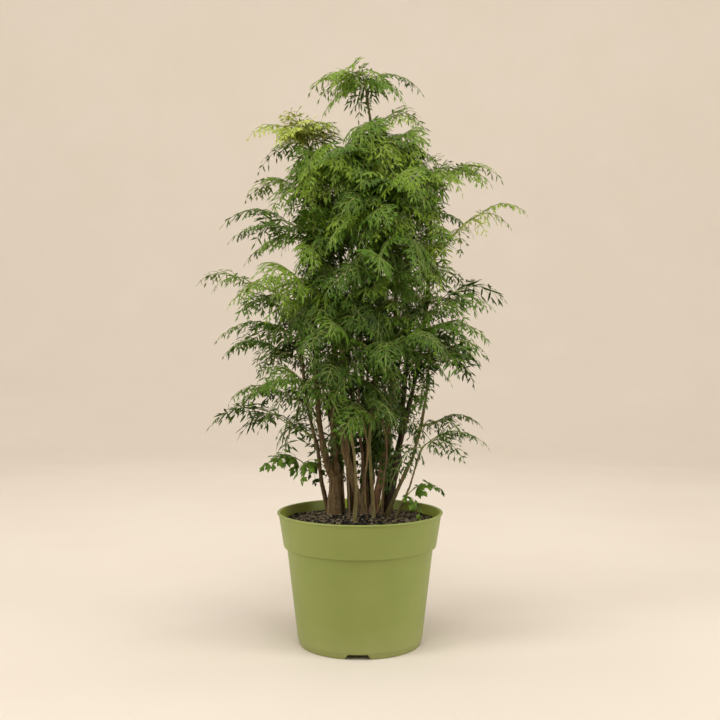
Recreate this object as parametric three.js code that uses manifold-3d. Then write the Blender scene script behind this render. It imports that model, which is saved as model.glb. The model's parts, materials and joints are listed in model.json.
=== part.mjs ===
// A potted ming aralia: a nursery pot, its soil, eleven rooted stems and the leaf sprays that they carry.
// Millimetres, +Z up, -Y to the front. The origin is on the floor, on the pot's axis.
import * as THREE from "three";
import { mergeVertices } from "three/addons/utils/BufferGeometryUtils.js";
import Module from "manifold-3d";

const wasm = await Module();
wasm.setup();

// ---------------------------------------------------------------- driving dimensions
const PLANT_HEIGHT = 840; // floor to the top leaf
const CLEARANCE = 0.3; // between pieces that touch
const ROUND_SIDES = 48; // facets round the pot and the soil

const POT_HEIGHT = 190;
const RIM_RADIUS = 120; // outside of the lip
const LIP_OUT = 2; // how far the lip stands out of the collar
const LIP_HEIGHT = 3;
const LIP_ROUND = 0.8; // bevel of the lip's edges
const COLLAR_HEIGHT = 46; // from under the lip to the step
const COLLAR_TAPER = 7.5; // how much the collar narrows going down
const STEP_IN = 4.4; // from the collar in to the wall below it
const STEP_HEIGHT = 3.2;
const BASE_RADIUS = 90.4; // outside of the wall where it meets the foot
const FOOT_HEIGHT = 8.5;
const FOOT_IN = 3.6; // how much the foot narrows going down
const FOOT_EDGE = 0.8; // bevel where the wall turns in to the foot
const WALL = 2;

const NOTCH_COUNT = 4; // drainage notches round the foot
const NOTCH_WIDTH = 40; // at the floor
const NOTCH_TOP_WIDTH = 30;
const NOTCH_HEIGHT = 7.4;
const NOTCH_TURN = -2; // degrees off the front
const DRAIN_COUNT = 4; // holes through the base, one behind each notch
const DRAIN_RADIUS = 7;
const DRAIN_CIRCLE = 62;

const SOIL_BELOW_RIM = 13; // at the wall
const SOIL_CROWN = 9; // how much the soil rises to the middle
const SOIL_RINGS = [0.8, 0.5, 0.2]; // where the mound's facets meet, as shares of its radius
const BURIED = 60; // how far each stem goes down into the soil

const STEM_SIDES = 8;
const STEM_STEP = 52; // between rings along a stem

const TWIG_SIDES = 4;
const TWIG_RADIUS = 2; // where it leaves the stem
const TWIG_TIP_RADIUS = 1.2;
const TWIG_ARCH = 0.12; // how far the middle is lifted, as a share of the length
const TWIG_SHOULDER = 0.06; // where a twig reaches its full radius, as a share of its length
const SEATING_STEPS = 12; // slides that bring a twig's foot to its stem
const FIRST_LEAF = 0.42; // where a twig's first leaf joins it, as a share of its length
const LAST_LEAF = 0.88; // and its last leaf

const LEAF_WIDTH_SHARE = 0.44; // of the leaf's length
const LEAF_WIDEST = 0.48; // where a leaf is widest, as a share of its length
const LEAF_TAPER = 0.74; // where it starts to come to its point
const TAPER_WIDTH = 0.62; // of its full width, there
const LEAF_THICKNESS = 1.4; // over the midrib
const LEAF_SIDES = 4; // round a leaf's flat diamond section
const PETIOLE_RADIUS = 1;
const PETIOLE_SHARE = 0.26; // of the leaf's length, that is bare
const LEAF_ARCH = 0.2; // how far the middle is lifted, as a share of the length
const LEAF_FAN = 118; // degrees to each side that a twig's leaves spread
const LEAF_TURN = 137.5; // degrees from leaf to leaf round an upright twig
const LOW_LEAF = -34; // degrees above the level, of a twig's lowest leaf
const TOP_LEAF = 4; // and of its last one
const UPRIGHT = 60; // degrees, above which a twig counts as upright

// What growth tries in turn to find free space: shares of its size, and degrees to lift and to turn.
const SIZES = [1, 0.85, 0.7, 0.55, 0.4, 0.3];
const LIFTS = [0, 12, -12, 26, -26, 45];
const TURNS = [0, 12, -12, 26, -26, 44, -44, 68, -68, 100, -100, 140];

// Each limb's route is [x, y, share of the plant's height above the soil], and its radii are those at its
// foot and its tip. Each spray on it is [share of the limb, azimuth, elevation, twig length, leaf length,
// leaves]; azimuth 0 is the right, 90 the back, 180 the left and 270 the front.
const LIMBS = [
  {
    stem: "stem_left_outer",
    radii: [3.6, 1.9],
    route: [
      [-47, 40, 0], [-58, 31, 0.07], [-61, 24, 0.13], [-68, 17, 0.17], [-80, 14, 0.27],
      [-87, 14, 0.38], [-88, 12, 0.45],
    ],
    sprays: [
      [0.47, 184, 28, 54, 100, 4],
      [0.35, 204, 12, 24, 58, 3],
      [0.62, 214, 12, 32, 92, 4],
      [0.8, 166, 14, 26, 92, 4],
      [0.93, 232, 34, 26, 100, 3],
      [1, 184, 24, 102, 62, 5],
    ],
  },
  {
    stem: "trunk_left",
    radii: [12.2, 9.6],
    route: [[-37, 16, 0], [-35.5, 16, 0.04], [-35, 16, 0.08]],
    sprays: [],
  },
  {
    stem: "trunk_left",
    radii: [5.2, 2],
    route: [
      [-37, 17, 0.06], [-46, 14, 0.1], [-55, 6, 0.15], [-60, -2, 0.22], [-64, -8, 0.33],
      [-66, -12, 0.46], [-64, -10, 0.57],
    ],
    sprays: [
      [0.42, 246, 8, 30, 104, 4],
      [0.62, 204, 14, 34, 104, 4],
      [0.82, 244, 18, 36, 112, 4],
      [1, 196, 52, 26, 104, 4],
    ],
  },
  {
    stem: "trunk_left",
    radii: [6.2, 2],
    route: [
      [-34, 18, 0.06], [-35, 20, 0.12], [-40, 24, 0.2], [-38, 30, 0.36], [-44, 32, 0.54],
      [-58, 26, 0.72], [-70, 18, 0.8],
    ],
    sprays: [
      [0.5, 160, 14, 40, 112, 4],
      [0.7, 178, 34, 84, 86, 4],
      [0.86, 150, 24, 32, 104, 4],
      [1, 214, 58, 22, 88, 5],
    ],
  },
  {
    stem: "stem_centre_left",
    radii: [5.6, 2],
    route: [
      [5, 4, 0], [-5, 3, 0.05], [-19, 0, 0.11], [-25, -2, 0.18], [-20, -4, 0.36], [-4, -4, 0.56],
      [12, -2, 0.74], [16, 0, 0.86], [9, 0, 0.945],
    ],
    sprays: [
      [0.36, 262, 14, 40, 96, 4],
      [0.52, 236, 18, 40, 108, 4],
      [0.66, 284, 20, 44, 108, 4],
      [0.78, 246, 26, 40, 104, 4],
      [0.9, 30, 48, 34, 62, 4],
      [1, 182, 74, 12, 84, 6],
    ],
  },
  {
    stem: "stem_front",
    radii: [2.6, 1.5],
    route: [[-8, -44, 0], [-5, -42, 0.05], [-8, -44, 0.14], [-22, -50, 0.27], [-26, -52, 0.36]],
    sprays: [[1, 240, 50, 24, 96, 4]],
  },
  {
    stem: "stem_back_left",
    radii: [7.4, 2],
    route: [[-12, 52, 0], [-16, 56, 0.1], [-24, 58, 0.25], [-30, 60, 0.45], [-28, 54, 0.64]],
    sprays: [
      [0.42, 120, 10, 36, 104, 4],
      [0.7, 140, 14, 36, 108, 4],
      [1, 110, 60, 26, 104, 5],
    ],
  },
  {
    stem: "stem_back_centre",
    radii: [8, 2],
    route: [[14, 46, 0], [15, 52, 0.1], [22, 56, 0.26], [30, 58, 0.46], [24, 50, 0.66], [14, 40, 0.77]],
    sprays: [
      [0.36, 78, 8, 36, 88, 4],
      [0.64, 60, 14, 36, 96, 4],
      [1, 80, 60, 24, 96, 5],
    ],
  },
  {
    stem: "stem_front_green",
    radii: [3, 1.7],
    route: [
      [20, -14, 0], [17, -18, 0.07], [13, -22, 0.14], [16, -27, 0.24], [26, -36, 0.4],
      [30, -42, 0.56], [26, -40, 0.66],
    ],
    sprays: [
      [0.4, 282, 6, 30, 96, 4],
      [0.58, 306, 12, 36, 108, 4],
      [0.78, 268, 18, 36, 108, 4],
      [1, 296, 56, 24, 108, 5],
    ],
  },
  {
    stem: "stem_centre_right",
    radii: [6, 2],
    route: [
      [19, 25, 0], [27, 24, 0.05], [35, 22, 0.12], [46, 14, 0.26], [52, 6, 0.45], [54, 4, 0.64],
      [48, 8, 0.8],
    ],
    sprays: [
      [0.52, 326, 12, 36, 108, 4],
      [0.74, 312, 18, 40, 112, 4],
      [0.9, 350, 24, 34, 100, 4],
      [1, 20, 70, 22, 92, 4],
    ],
  },
  {
    stem: "trunk_right",
    radii: [9.8, 8.8],
    route: [[38, 42, 0], [45, 42, 0.05], [53, 41, 0.115]],
    sprays: [],
  },
  {
    stem: "trunk_right",
    radii: [5, 2],
    route: [[50, 39, 0.095], [62, 34, 0.17], [82, 26, 0.3], [98, 18, 0.46], [104, 12, 0.6], [102, 8, 0.72]],
    sprays: [
      [0.4, 4, 14, 24, 88, 4],
      [0.6, 338, 8, 26, 84, 4],
      [0.74, 352, 42, 112, 62, 5],
      [1, 8, 44, 30, 84, 4],
    ],
  },
  {
    stem: "trunk_right",
    radii: [4.6, 1.9],
    route: [[54, 43, 0.095], [62, 50, 0.18], [70, 56, 0.34], [72, 58, 0.5], [66, 54, 0.64]],
    sprays: [
      [0.52, 44, 12, 32, 96, 4],
      [0.78, 60, 18, 32, 96, 4],
      [1, 30, 58, 24, 96, 4],
    ],
  },
  {
    stem: "stem_right_outer",
    radii: [3.6, 1.8],
    route: [
      [38, 8, 0], [54, 8, 0.05], [66, 6, 0.08], [78, 3, 0.13], [92, -4, 0.22], [100, -10, 0.33],
      [98, -14, 0.43],
    ],
    sprays: [
      [0.56, 350, 8, 18, 62, 4],
      [0.82, 322, 12, 24, 82, 4],
      [1, 340, 54, 20, 78, 4],
    ],
  },
  {
    stem: "stem_right_thin",
    radii: [2.2, 1.4],
    route: [[52, -6, 0], [66, -10, 0.045], [80, -14, 0.09], [86, -18, 0.14]],
    sprays: [
      [0.46, 352, 46, 20, 46, 2],
      [1, 340, 48, 16, 84, 3],
    ],
  },
];

// ---------------------------------------------------------------- sizes that follow
const collarTop = POT_HEIGHT - LIP_HEIGHT;
const collarFoot = collarTop - COLLAR_HEIGHT;
const wallTop = collarFoot - STEP_HEIGHT;
const collarRadius = RIM_RADIUS - LIP_OUT;
const stepRadius = collarRadius - COLLAR_TAPER;
const wallTopRadius = stepRadius - STEP_IN;
const footRadius = BASE_RADIUS - FOOT_IN;
const floorTop = FOOT_HEIGHT + WALL;
const soilEdge = POT_HEIGHT - SOIL_BELOW_RIM;
const soilTop = soilEdge + SOIL_CROWN;
const riseAboveSoil = PLANT_HEIGHT - soilTop;

// The pot's inner wall from the floor up, as [radius, height].
const INNER_WALL = [
  [BASE_RADIUS - WALL, floorTop],
  [wallTopRadius - WALL, wallTop + WALL / 2],
  [stepRadius - WALL, collarFoot + WALL / 2],
  [collarRadius - WALL, POT_HEIGHT - 1],
];

// ---------------------------------------------------------------- helpers
const UP = new THREE.Vector3(0, 0, 1);
const radians = THREE.MathUtils.degToRad;

function material(colour, roughness) {
  return new THREE.MeshStandardMaterial({ color: colour, roughness, metalness: 0 });
}

// A closed geometry as a solid for joining and cutting.
function solidOf(geometry) {
  const bare = geometry.index ? geometry.toNonIndexed() : geometry.clone();
  bare.deleteAttribute("normal");
  bare.deleteAttribute("uv");
  const merged = mergeVertices(bare, 1e-4);
  const vertProperties = merged.attributes.position.array;
  const triVerts = new Uint32Array(merged.index.array);
  const solid = new wasm.Manifold(new wasm.Mesh({ numProp: 3, vertProperties, triVerts }));
  if (solid.volume() > 0) return solid;
  for (let i = 0; i < triVerts.length; i += 3) {
    [triVerts[i + 1], triVerts[i + 2]] = [triVerts[i + 2], triVerts[i + 1]];
  }
  return new wasm.Manifold(new wasm.Mesh({ numProp: 3, vertProperties, triVerts }));
}

function geometryOf(solid) {
  const mesh = solid.getMesh();
  const places = new Float32Array(mesh.numVert * 3);
  for (let i = 0; i < mesh.numVert; i++) {
    places.set(mesh.vertProperties.subarray(i * mesh.numProp, i * mesh.numProp + 3), i * 3);
  }
  const geometry = new THREE.BufferGeometry();
  geometry.setAttribute("position", new THREE.BufferAttribute(places, 3));
  geometry.setIndex(new THREE.BufferAttribute(mesh.triVerts, 1));
  geometry.computeVertexNormals();
  return geometry;
}

function named(name, solid, finish) {
  const mesh = new THREE.Mesh(geometryOf(solid), finish);
  mesh.name = name;
  return mesh;
}

// A solid of revolution round Z from [radius, height] points that start and end on the axis.
function turned(points, sides = ROUND_SIDES) {
  const profile = points.map(([radius, height]) => new THREE.Vector2(radius, height));
  return solidOf(new THREE.LatheGeometry(profile, sides).rotateX(Math.PI / 2));
}

// A closed spindle bent along a curve, from a share of it to its end. Each ring is [share of the curve,
// half width, half thickness], and sideways is the direction of its width.
function spindle(curve, rings, sides, sideways, from = 0) {
  const profile = [[0, from], ...rings.map(([at]) => [1, at]), [0, 1]];
  const body = new THREE.LatheGeometry(profile.map(([r, at]) => new THREE.Vector2(r, at)), sides);
  const place = body.attributes.position;
  for (let i = 0; i < place.count; i++) {
    const [at, x, z] = [place.getY(i), place.getX(i), place.getZ(i)];
    const [, halfWidth, halfThickness] = rings.find((ring) => Math.abs(ring[0] - at) < 1e-5) ?? [0, 0, 0];
    const along = curve.getTangentAt(at);
    const across = sideways.clone().addScaledVector(along, -sideways.dot(along)).normalize();
    const facing = new THREE.Vector3().crossVectors(along, across);
    const centre = curve.getPointAt(at);
    centre.addScaledVector(across, x * halfWidth).addScaledVector(facing, z * halfThickness);
    place.setXYZ(i, centre.x, centre.y, centre.z);
  }
  return solidOf(body);
}

function direction(azimuth, elevation) {
  const [a, e] = [radians(azimuth), radians(elevation)];
  return new THREE.Vector3(Math.cos(a) * Math.cos(e), Math.sin(a) * Math.cos(e), Math.sin(e));
}

function level(azimuth) {
  return new THREE.Vector3(-Math.sin(radians(azimuth)), Math.cos(radians(azimuth)), 0);
}

// A curve from start to end whose middle is lifted by a share of its length.
function arched(start, end, lift) {
  const middle = start.clone().add(end).multiplyScalar(0.5);
  middle.addScaledVector(UP, 2 * lift * start.distanceTo(end));
  return new THREE.QuadraticBezierCurve3(start, middle, end);
}

// ---------------------------------------------------------------- pot and soil
function innerRadiusAt(height) {
  const above = INNER_WALL.findIndex(([, z]) => z > height);
  const [[r0, z0], [r1, z1]] = [INNER_WALL[above - 1], INNER_WALL[above]];
  return r0 + ((r1 - r0) * (height - z0)) / (z1 - z0);
}

function notchCutter() {
  const outline = new THREE.Shape([
    new THREE.Vector2(-NOTCH_WIDTH / 2, -1),
    new THREE.Vector2(NOTCH_WIDTH / 2, -1),
    new THREE.Vector2(NOTCH_TOP_WIDTH / 2, NOTCH_HEIGHT),
    new THREE.Vector2(-NOTCH_TOP_WIDTH / 2, NOTCH_HEIGHT),
  ]);
  const depth = BASE_RADIUS - DRAIN_CIRCLE;
  return new THREE.ExtrudeGeometry(outline, { depth, bevelEnabled: false })
    .rotateX(Math.PI / 2)
    .translate(0, -DRAIN_CIRCLE, 0);
}

function makePot() {
  let pot = turned([
    [0, FOOT_HEIGHT],
    [footRadius - WALL, FOOT_HEIGHT],
    [footRadius - WALL, 0],
    [footRadius, 0],
    [BASE_RADIUS - FOOT_EDGE, FOOT_HEIGHT - FOOT_EDGE],
    [BASE_RADIUS, FOOT_HEIGHT],
    [wallTopRadius, wallTop],
    [stepRadius, collarFoot],
    [collarRadius, collarTop],
    [RIM_RADIUS, collarTop + LIP_ROUND],
    [RIM_RADIUS, POT_HEIGHT - LIP_ROUND],
    [RIM_RADIUS - LIP_ROUND, POT_HEIGHT],
    [collarRadius - WALL + LIP_ROUND, POT_HEIGHT],
    ...[...INNER_WALL].reverse(),
    [0, floorTop],
  ]);
  for (let i = 0; i < NOTCH_COUNT; i++) {
    const turn = radians(NOTCH_TURN + (i * 360) / NOTCH_COUNT);
    pot = pot.subtract(solidOf(notchCutter().rotateZ(turn)));
  }
  for (let i = 0; i < DRAIN_COUNT; i++) {
    const turn = radians(NOTCH_TURN + (i * 360) / DRAIN_COUNT);
    const hole = new THREE.CylinderGeometry(DRAIN_RADIUS, DRAIN_RADIUS, 4 * WALL, 12)
      .rotateX(Math.PI / 2)
      .translate(0, -DRAIN_CIRCLE, FOOT_HEIGHT)
      .rotateZ(turn);
    pot = pot.subtract(solidOf(hole));
  }
  return pot;
}

// The soil fills the pot, mounds up to the middle and has a socket for each stem.
function makeSoil(sockets) {
  const side = [
    [INNER_WALL[0][0], floorTop + CLEARANCE],
    ...INNER_WALL.slice(1, 3),
    [innerRadiusAt(soilEdge), soilEdge],
  ];
  const edge = innerRadiusAt(soilEdge) - CLEARANCE;
  const mound = SOIL_RINGS.map((share) => [
    share * edge,
    soilEdge + (SOIL_CROWN * (1 + Math.cos(Math.PI * share))) / 2,
  ]);
  let soil = turned([
    [0, floorTop + CLEARANCE],
    ...side.map(([radius, height]) => [radius - CLEARANCE, height]),
    ...mound,
    [0, soilTop],
  ]);
  for (const socket of sockets) soil = soil.subtract(socket);
  return soil;
}

// ---------------------------------------------------------------- stems
// A limb whose route starts at the soil goes straight down into it.
function limbCurve(limb, buried = BURIED) {
  const points = limb.route.map(([x, y, share]) => new THREE.Vector3(x, y, soilTop + share * riseAboveSoil));
  if (limb.route[0][2] === 0) points.unshift(points[0].clone().addScaledVector(UP, -buried));
  return new THREE.CatmullRomCurve3(points, false, "centripetal");
}

function limbRadius(limb, at) {
  return THREE.MathUtils.lerp(limb.radii[0], limb.radii[1], at);
}

function limbSolid(limb, extra) {
  const count = Math.max(2, Math.round(limbCurve(limb).getLength() / STEM_STEP));
  const rings = [];
  for (let i = 0; i <= count; i++) {
    const radius = limbRadius(limb, i / count) + extra;
    rings.push([i / count, radius, radius]);
  }
  return spindle(limbCurve(limb, BURIED + extra), rings, STEM_SIDES, new THREE.Vector3(1, 0, 0));
}

// ---------------------------------------------------------------- leaf sprays
const placed = []; // every solid that stands already, which new growth keeps clear of

function overlapping(a, b) {
  return [0, 1, 2].every((i) => a.min[i] - CLEARANCE < b.max[i] && b.min[i] - CLEARANCE < a.max[i]);
}

// Growth keeps clear of every other owner's, and its blade, if it has one, of its own spray's too.
function isClear({ solid, blade }, owner) {
  const apart = (a, b) => a.minGap(b, 2 * CLEARANCE) > 0.9 * CLEARANCE;
  const box = solid.boundingBox();
  return placed
    .filter((other) => overlapping(box, other.box))
    .every((other) => (other.owner === owner ? !blade || apart(blade, other.solid) : apart(solid, other.solid)));
}

function keep(solid, owner) {
  placed.push({ solid, owner, box: solid.boundingBox() });
}

// Growth turns, lifts or stays shorter until it stands in free space, as a plant's does.
function grown(make, owner) {
  for (const size of SIZES) {
    for (const lift of LIFTS) {
      for (const turn of TURNS) {
        const found = make(turn, lift, size);
        if (isClear(found, owner)) return found;
      }
    }
  }
  throw new Error(owner + " has no room to grow");
}

// Where a twig's leaves join it, as shares of its length.
function junctions(count) {
  const share = (i) => THREE.MathUtils.lerp(FIRST_LEAF, LAST_LEAF, i / (count - 1));
  return Array.from({ length: count }, (_, i) => share(i));
}

// A twig, with a ring at each leaf's junction.
function makeTwig(base, azimuth, elevation, length, count) {
  const end = base.clone().addScaledVector(direction(azimuth, elevation), length);
  const curve = arched(base, end, TWIG_ARCH);
  const rings = [TWIG_SHOULDER, ...junctions(count)].map((at) => {
    const radius = THREE.MathUtils.lerp(TWIG_RADIUS, TWIG_TIP_RADIUS, at);
    return [at, radius, radius];
  });
  return { curve, azimuth, elevation, solid: spindle(curve, rings, TWIG_SIDES, level(azimuth)) };
}

// A twig seated on its stem: it starts well off the limb and slides back until its foot is a clearance away.
function seatedTwig(start, limbRadiusHere, stem, azimuth, elevation, length, count) {
  const heading = direction(azimuth, elevation);
  let offAxis = 2 * (limbRadiusHere + TWIG_RADIUS);
  const at = () => makeTwig(start.clone().addScaledVector(heading, offAxis), azimuth, elevation, length, count);
  for (let i = 0; i < SEATING_STEPS; i++) {
    offAxis -= stem.minGap(at().solid, offAxis) - CLEARANCE;
  }
  return at();
}

function makeLeaf(start, azimuth, elevation, length) {
  const end = start.clone().addScaledVector(direction(azimuth, elevation), length);
  const halfWidth = (length * LEAF_WIDTH_SHARE) / 2;
  const petiole = [0, PETIOLE_RADIUS, PETIOLE_RADIUS];
  const bladeRings = [
    [PETIOLE_SHARE, PETIOLE_RADIUS, PETIOLE_RADIUS],
    [LEAF_WIDEST, halfWidth, LEAF_THICKNESS / 2],
    [LEAF_TAPER, TAPER_WIDTH * halfWidth, LEAF_THICKNESS / 2],
  ];
  const [curve, across] = [arched(start, end, LEAF_ARCH), level(azimuth)];
  return {
    solid: spindle(curve, [petiole, ...bladeRings], LEAF_SIDES, across),
    blade: spindle(curve, bladeRings, LEAF_SIDES, across, PETIOLE_SHARE),
  };
}

// One spray: a twig off the limb, with its leaves fanned to both sides, or all round an upright twig.
function makeSpray(name, limb, stem, [share, azimuth, elevation, twigLength, leafLength, count]) {
  const start = limbCurve(limb).getPointAt(share);
  const radius = limbRadius(limb, share);
  const twig = grown(
    (turn, lift, size) =>
      seatedTwig(start, radius, stem, azimuth + turn, elevation + lift, twigLength * size, count),
    name,
  );
  let spray = twig.solid;
  keep(twig.solid, name);
  for (let i = 0; i < count; i++) {
    const step = i / (count - 1);
    const junction = twig.curve.getPointAt(junctions(count)[i]);
    const fan = twig.elevation > UPRIGHT ? i * LEAF_TURN : LEAF_FAN * (1 - step) * (i % 2 ? 1 : -1);
    const rise = THREE.MathUtils.lerp(LOW_LEAF, TOP_LEAF, step);
    const length = leafLength * (0.86 + 0.14 * step);
    const leaf = grown(
      (turn, lift, size) => makeLeaf(junction, twig.azimuth + fan + turn, rise + lift, length * size),
      name,
    );
    keep(leaf.solid, name);
    spray = spray.add(leaf.solid);
  }
  return spray;
}

// ---------------------------------------------------------------- the object
const finishes = {
  pot: material(0x97a052, 0.45),
  soil: material(0x2e2620, 0.95),
  stem: material(0x6b5a45, 0.8),
  leaf: material(0x3f7a2c, 0.5),
};

const plant = new THREE.Group();
const stemNames = [...new Set(LIMBS.map((limb) => limb.stem))];

// A whole stem with its branches, or with extra all round, the space that it stands in.
function makeStem(name, extra = 0) {
  const limbs = LIMBS.filter((limb) => limb.stem === name);
  return limbs.map((limb) => limbSolid(limb, extra)).reduce((all, part) => all.add(part));
}

const pot = makePot();
keep(pot, "pot");
const soil = makeSoil(stemNames.map((name) => makeStem(name, CLEARANCE)));
keep(soil, "soil");
plant.add(named("pot", pot, finishes.pot), named("soil", soil, finishes.soil));

const stems = new Map(stemNames.map((name) => [name, makeStem(name)]));
for (const [name, stem] of stems) {
  keep(stem, name);
  plant.add(named(name, stem, finishes.stem));
}

let sprayCount = 0;
for (const limb of LIMBS) {
  for (const spray of limb.sprays) {
    sprayCount += 1;
    const name = "leaf_spray_" + String(sprayCount).padStart(2, "0");
    plant.add(named(name, makeSpray(name, limb, stems.get(limb.stem), spray), finishes.leaf));
  }
}

export default plant;
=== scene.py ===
# %% [markdown]
# # A potted ming aralia
# A ming aralia is a slow woody houseplant. It grows many upright canes, each ending in tufts of feathery
# leaves. It stands here in a moulded nursery pot, in a mix of bark and peat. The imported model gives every
# size and place: each piece below takes its box or its shape from a node of that model, and then adds
# what the eye looks for, such as cut leaflets, leaf scars, bark crumbs and a rolled rim.

# %% Load the frame
import math
import random

import bmesh
import bpy
import numpy as np
from mathutils import Matrix, Vector, bvhtree, kdtree, noise
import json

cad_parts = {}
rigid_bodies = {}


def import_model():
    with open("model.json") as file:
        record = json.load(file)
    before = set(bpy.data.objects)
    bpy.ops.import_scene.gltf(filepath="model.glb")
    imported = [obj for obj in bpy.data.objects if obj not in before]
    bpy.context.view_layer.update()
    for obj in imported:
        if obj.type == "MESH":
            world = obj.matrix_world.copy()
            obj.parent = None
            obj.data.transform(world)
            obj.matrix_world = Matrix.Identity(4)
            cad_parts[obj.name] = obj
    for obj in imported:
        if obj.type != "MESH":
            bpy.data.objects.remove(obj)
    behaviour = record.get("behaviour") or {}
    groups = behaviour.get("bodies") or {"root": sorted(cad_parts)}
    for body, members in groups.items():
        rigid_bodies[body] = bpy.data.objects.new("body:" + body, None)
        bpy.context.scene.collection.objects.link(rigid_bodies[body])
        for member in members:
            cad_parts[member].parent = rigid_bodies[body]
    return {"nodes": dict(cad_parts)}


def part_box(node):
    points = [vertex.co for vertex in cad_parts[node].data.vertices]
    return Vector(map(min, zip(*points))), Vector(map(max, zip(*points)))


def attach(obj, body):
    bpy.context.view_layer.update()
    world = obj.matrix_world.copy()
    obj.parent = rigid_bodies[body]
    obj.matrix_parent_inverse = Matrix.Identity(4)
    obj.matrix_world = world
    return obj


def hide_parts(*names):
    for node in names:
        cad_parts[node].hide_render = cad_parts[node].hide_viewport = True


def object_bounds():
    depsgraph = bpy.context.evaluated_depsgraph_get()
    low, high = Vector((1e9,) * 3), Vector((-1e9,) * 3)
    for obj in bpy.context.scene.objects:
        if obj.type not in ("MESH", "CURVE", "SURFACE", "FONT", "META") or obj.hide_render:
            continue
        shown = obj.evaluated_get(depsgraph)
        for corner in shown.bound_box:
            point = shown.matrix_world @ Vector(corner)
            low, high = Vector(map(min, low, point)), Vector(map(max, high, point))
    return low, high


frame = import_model()
nodes = frame["nodes"]
cad_box = [list(corner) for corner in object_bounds()]
print("the frame's box:", cad_box)

MM = 0.001
stems = sorted(name for name in nodes if name.startswith(("stem_", "trunk_")))
sprays = sorted(name for name in nodes if name.startswith("leaf_spray_"))
print(len(stems), "stems and", len(sprays), "leaf sprays")

# %% [markdown]
# ## Helpers
# Colours are picked as web colours, but a shader works in linear light, so one function turns one into
# the other. A node tree is only a list of nodes and links, so one small helper that adds a node and fills
# its sockets keeps every tree short enough to read.


# %% Colour and node helpers
def linear(code):
    """A web colour such as "#7f9a45" as linear light."""
    parts = [int(code[i : i + 2], 16) / 255 for i in (1, 3, 5)]
    return (*(c / 12.92 if c <= 0.04045 else ((c + 0.055) / 1.055) ** 2.4 for c in parts), 1.0)


def add(tree, kind, inputs=None, stops=(), **settings):
    """Adds a node with its settings and links.

    Its inputs map a socket's name or number to a value, to an output, or to a node, which stands for its
    first output. The stops of a colour ramp are pairs of a place and a web colour.
    """
    node = tree.nodes.new(kind)
    for name, value in settings.items():
        setattr(node, name, value)
    for key, value in (inputs or {}).items():
        named = [socket for socket in node.inputs if socket.name == key and socket.enabled]
        socket = named[0] if named else node.inputs[key]
        if isinstance(value, bpy.types.Node):
            value = next(output for output in value.outputs if output.enabled)
        if isinstance(value, bpy.types.NodeSocket):
            tree.links.new(value, socket)
        else:
            socket.default_value = value
    if stops:
        bar = node.color_ramp.elements
        while len(bar) < len(stops):
            bar.new(1.0)
        for element, (place, code) in zip(bar, stops):
            element.position = place
            element.color = linear(code)
    return node


def new_material(name):
    """A material and its empty node tree."""
    made = bpy.data.materials.new(name)
    made.use_nodes = True
    made.node_tree.nodes.clear()
    return made, made.node_tree


def new_tree(name, sockets):
    """A geometry tree with named inputs, given as name and kind, and the outputs that carry them."""
    tree = bpy.data.node_groups.new(name, "GeometryNodeTree")
    for socket, kind in {"Geometry": "Geometry", **sockets}.items():
        tree.interface.new_socket(name=socket, in_out="INPUT", socket_type="NodeSocket" + kind)
    tree.interface.new_socket(name="Geometry", in_out="OUTPUT", socket_type="NodeSocketGeometry")
    return tree, add(tree, "NodeGroupInput").outputs

# %% Mesh helpers
def object_of(name, data):
    made = bpy.data.objects.new(name, data)
    bpy.context.scene.collection.objects.link(made)
    return made


def mesh_of(name, points, faces, edges=()):
    mesh = bpy.data.meshes.new(name)
    mesh.from_pydata([tuple(p) for p in points], list(edges), faces)
    mesh.update()
    return mesh


def mesh_from(name, made):
    """The mesh of a bmesh, which is then given up."""
    mesh = bpy.data.meshes.new(name)
    made.to_mesh(mesh)
    made.free()
    return mesh


def ring_faces(rings, segments):
    """Faces of a surface of rings round an axis, which starts as a fan round point 0."""

    def at(ring, k):
        return 1 + ring * segments + k % segments

    faces = [(0, at(0, k), at(0, k + 1)) for k in range(segments)]
    for ring in range(rings - 1):
        for k in range(segments):
            faces.append((at(ring, k), at(ring + 1, k), at(ring + 1, k + 1), at(ring, k + 1)))
    return faces


def closing_fan(rings, segments):
    """The last fan of such a surface, round the point that comes after its last ring."""
    first, last = 1 + (rings - 1) * segments, 1 + rings * segments
    return [(last, first + (k + 1) % segments, first + k) for k in range(segments)]


def smooth_by_angle(mesh, degrees):
    """Shades smoothly, except over edges sharper than an angle."""
    mesh.shade_smooth()
    mesh.set_sharp_from_angle(angle=math.radians(degrees))


def merged_copy(name):
    """A bmesh copy of a frame node, with its loose triangles merged."""
    copy = bmesh.new()
    copy.from_mesh(nodes[name].data)
    bmesh.ops.remove_doubles(copy, verts=copy.verts, dist=0.01 * MM)
    return copy


def plain(piece):
    """Applies a piece's modifiers and leaves a plain mesh."""
    graph = bpy.context.evaluated_depsgraph_get()
    mesh = bpy.data.meshes.new_from_object(piece.evaluated_get(graph), depsgraph=graph)
    piece.modifiers.clear()
    piece.data = mesh
    return piece


def triangles(piece):
    return sum(len(face.vertices) - 2 for face in piece.data.polygons)

# %% [markdown]
# ## The pot
# A nursery pot is thin polypropylene, moulded in one shot. Its wall tapers so that pots nest, a deeper
# collar stiffens the mouth, and a rolled lip finishes it. The foot ring holds the base off the ground,
# and notches in the ring let water out. A lathe profile gives all the round shapes at once, and a Boolean
# cuts the notches and the drain holes, because that is also the order in which a mould maker works.

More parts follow.
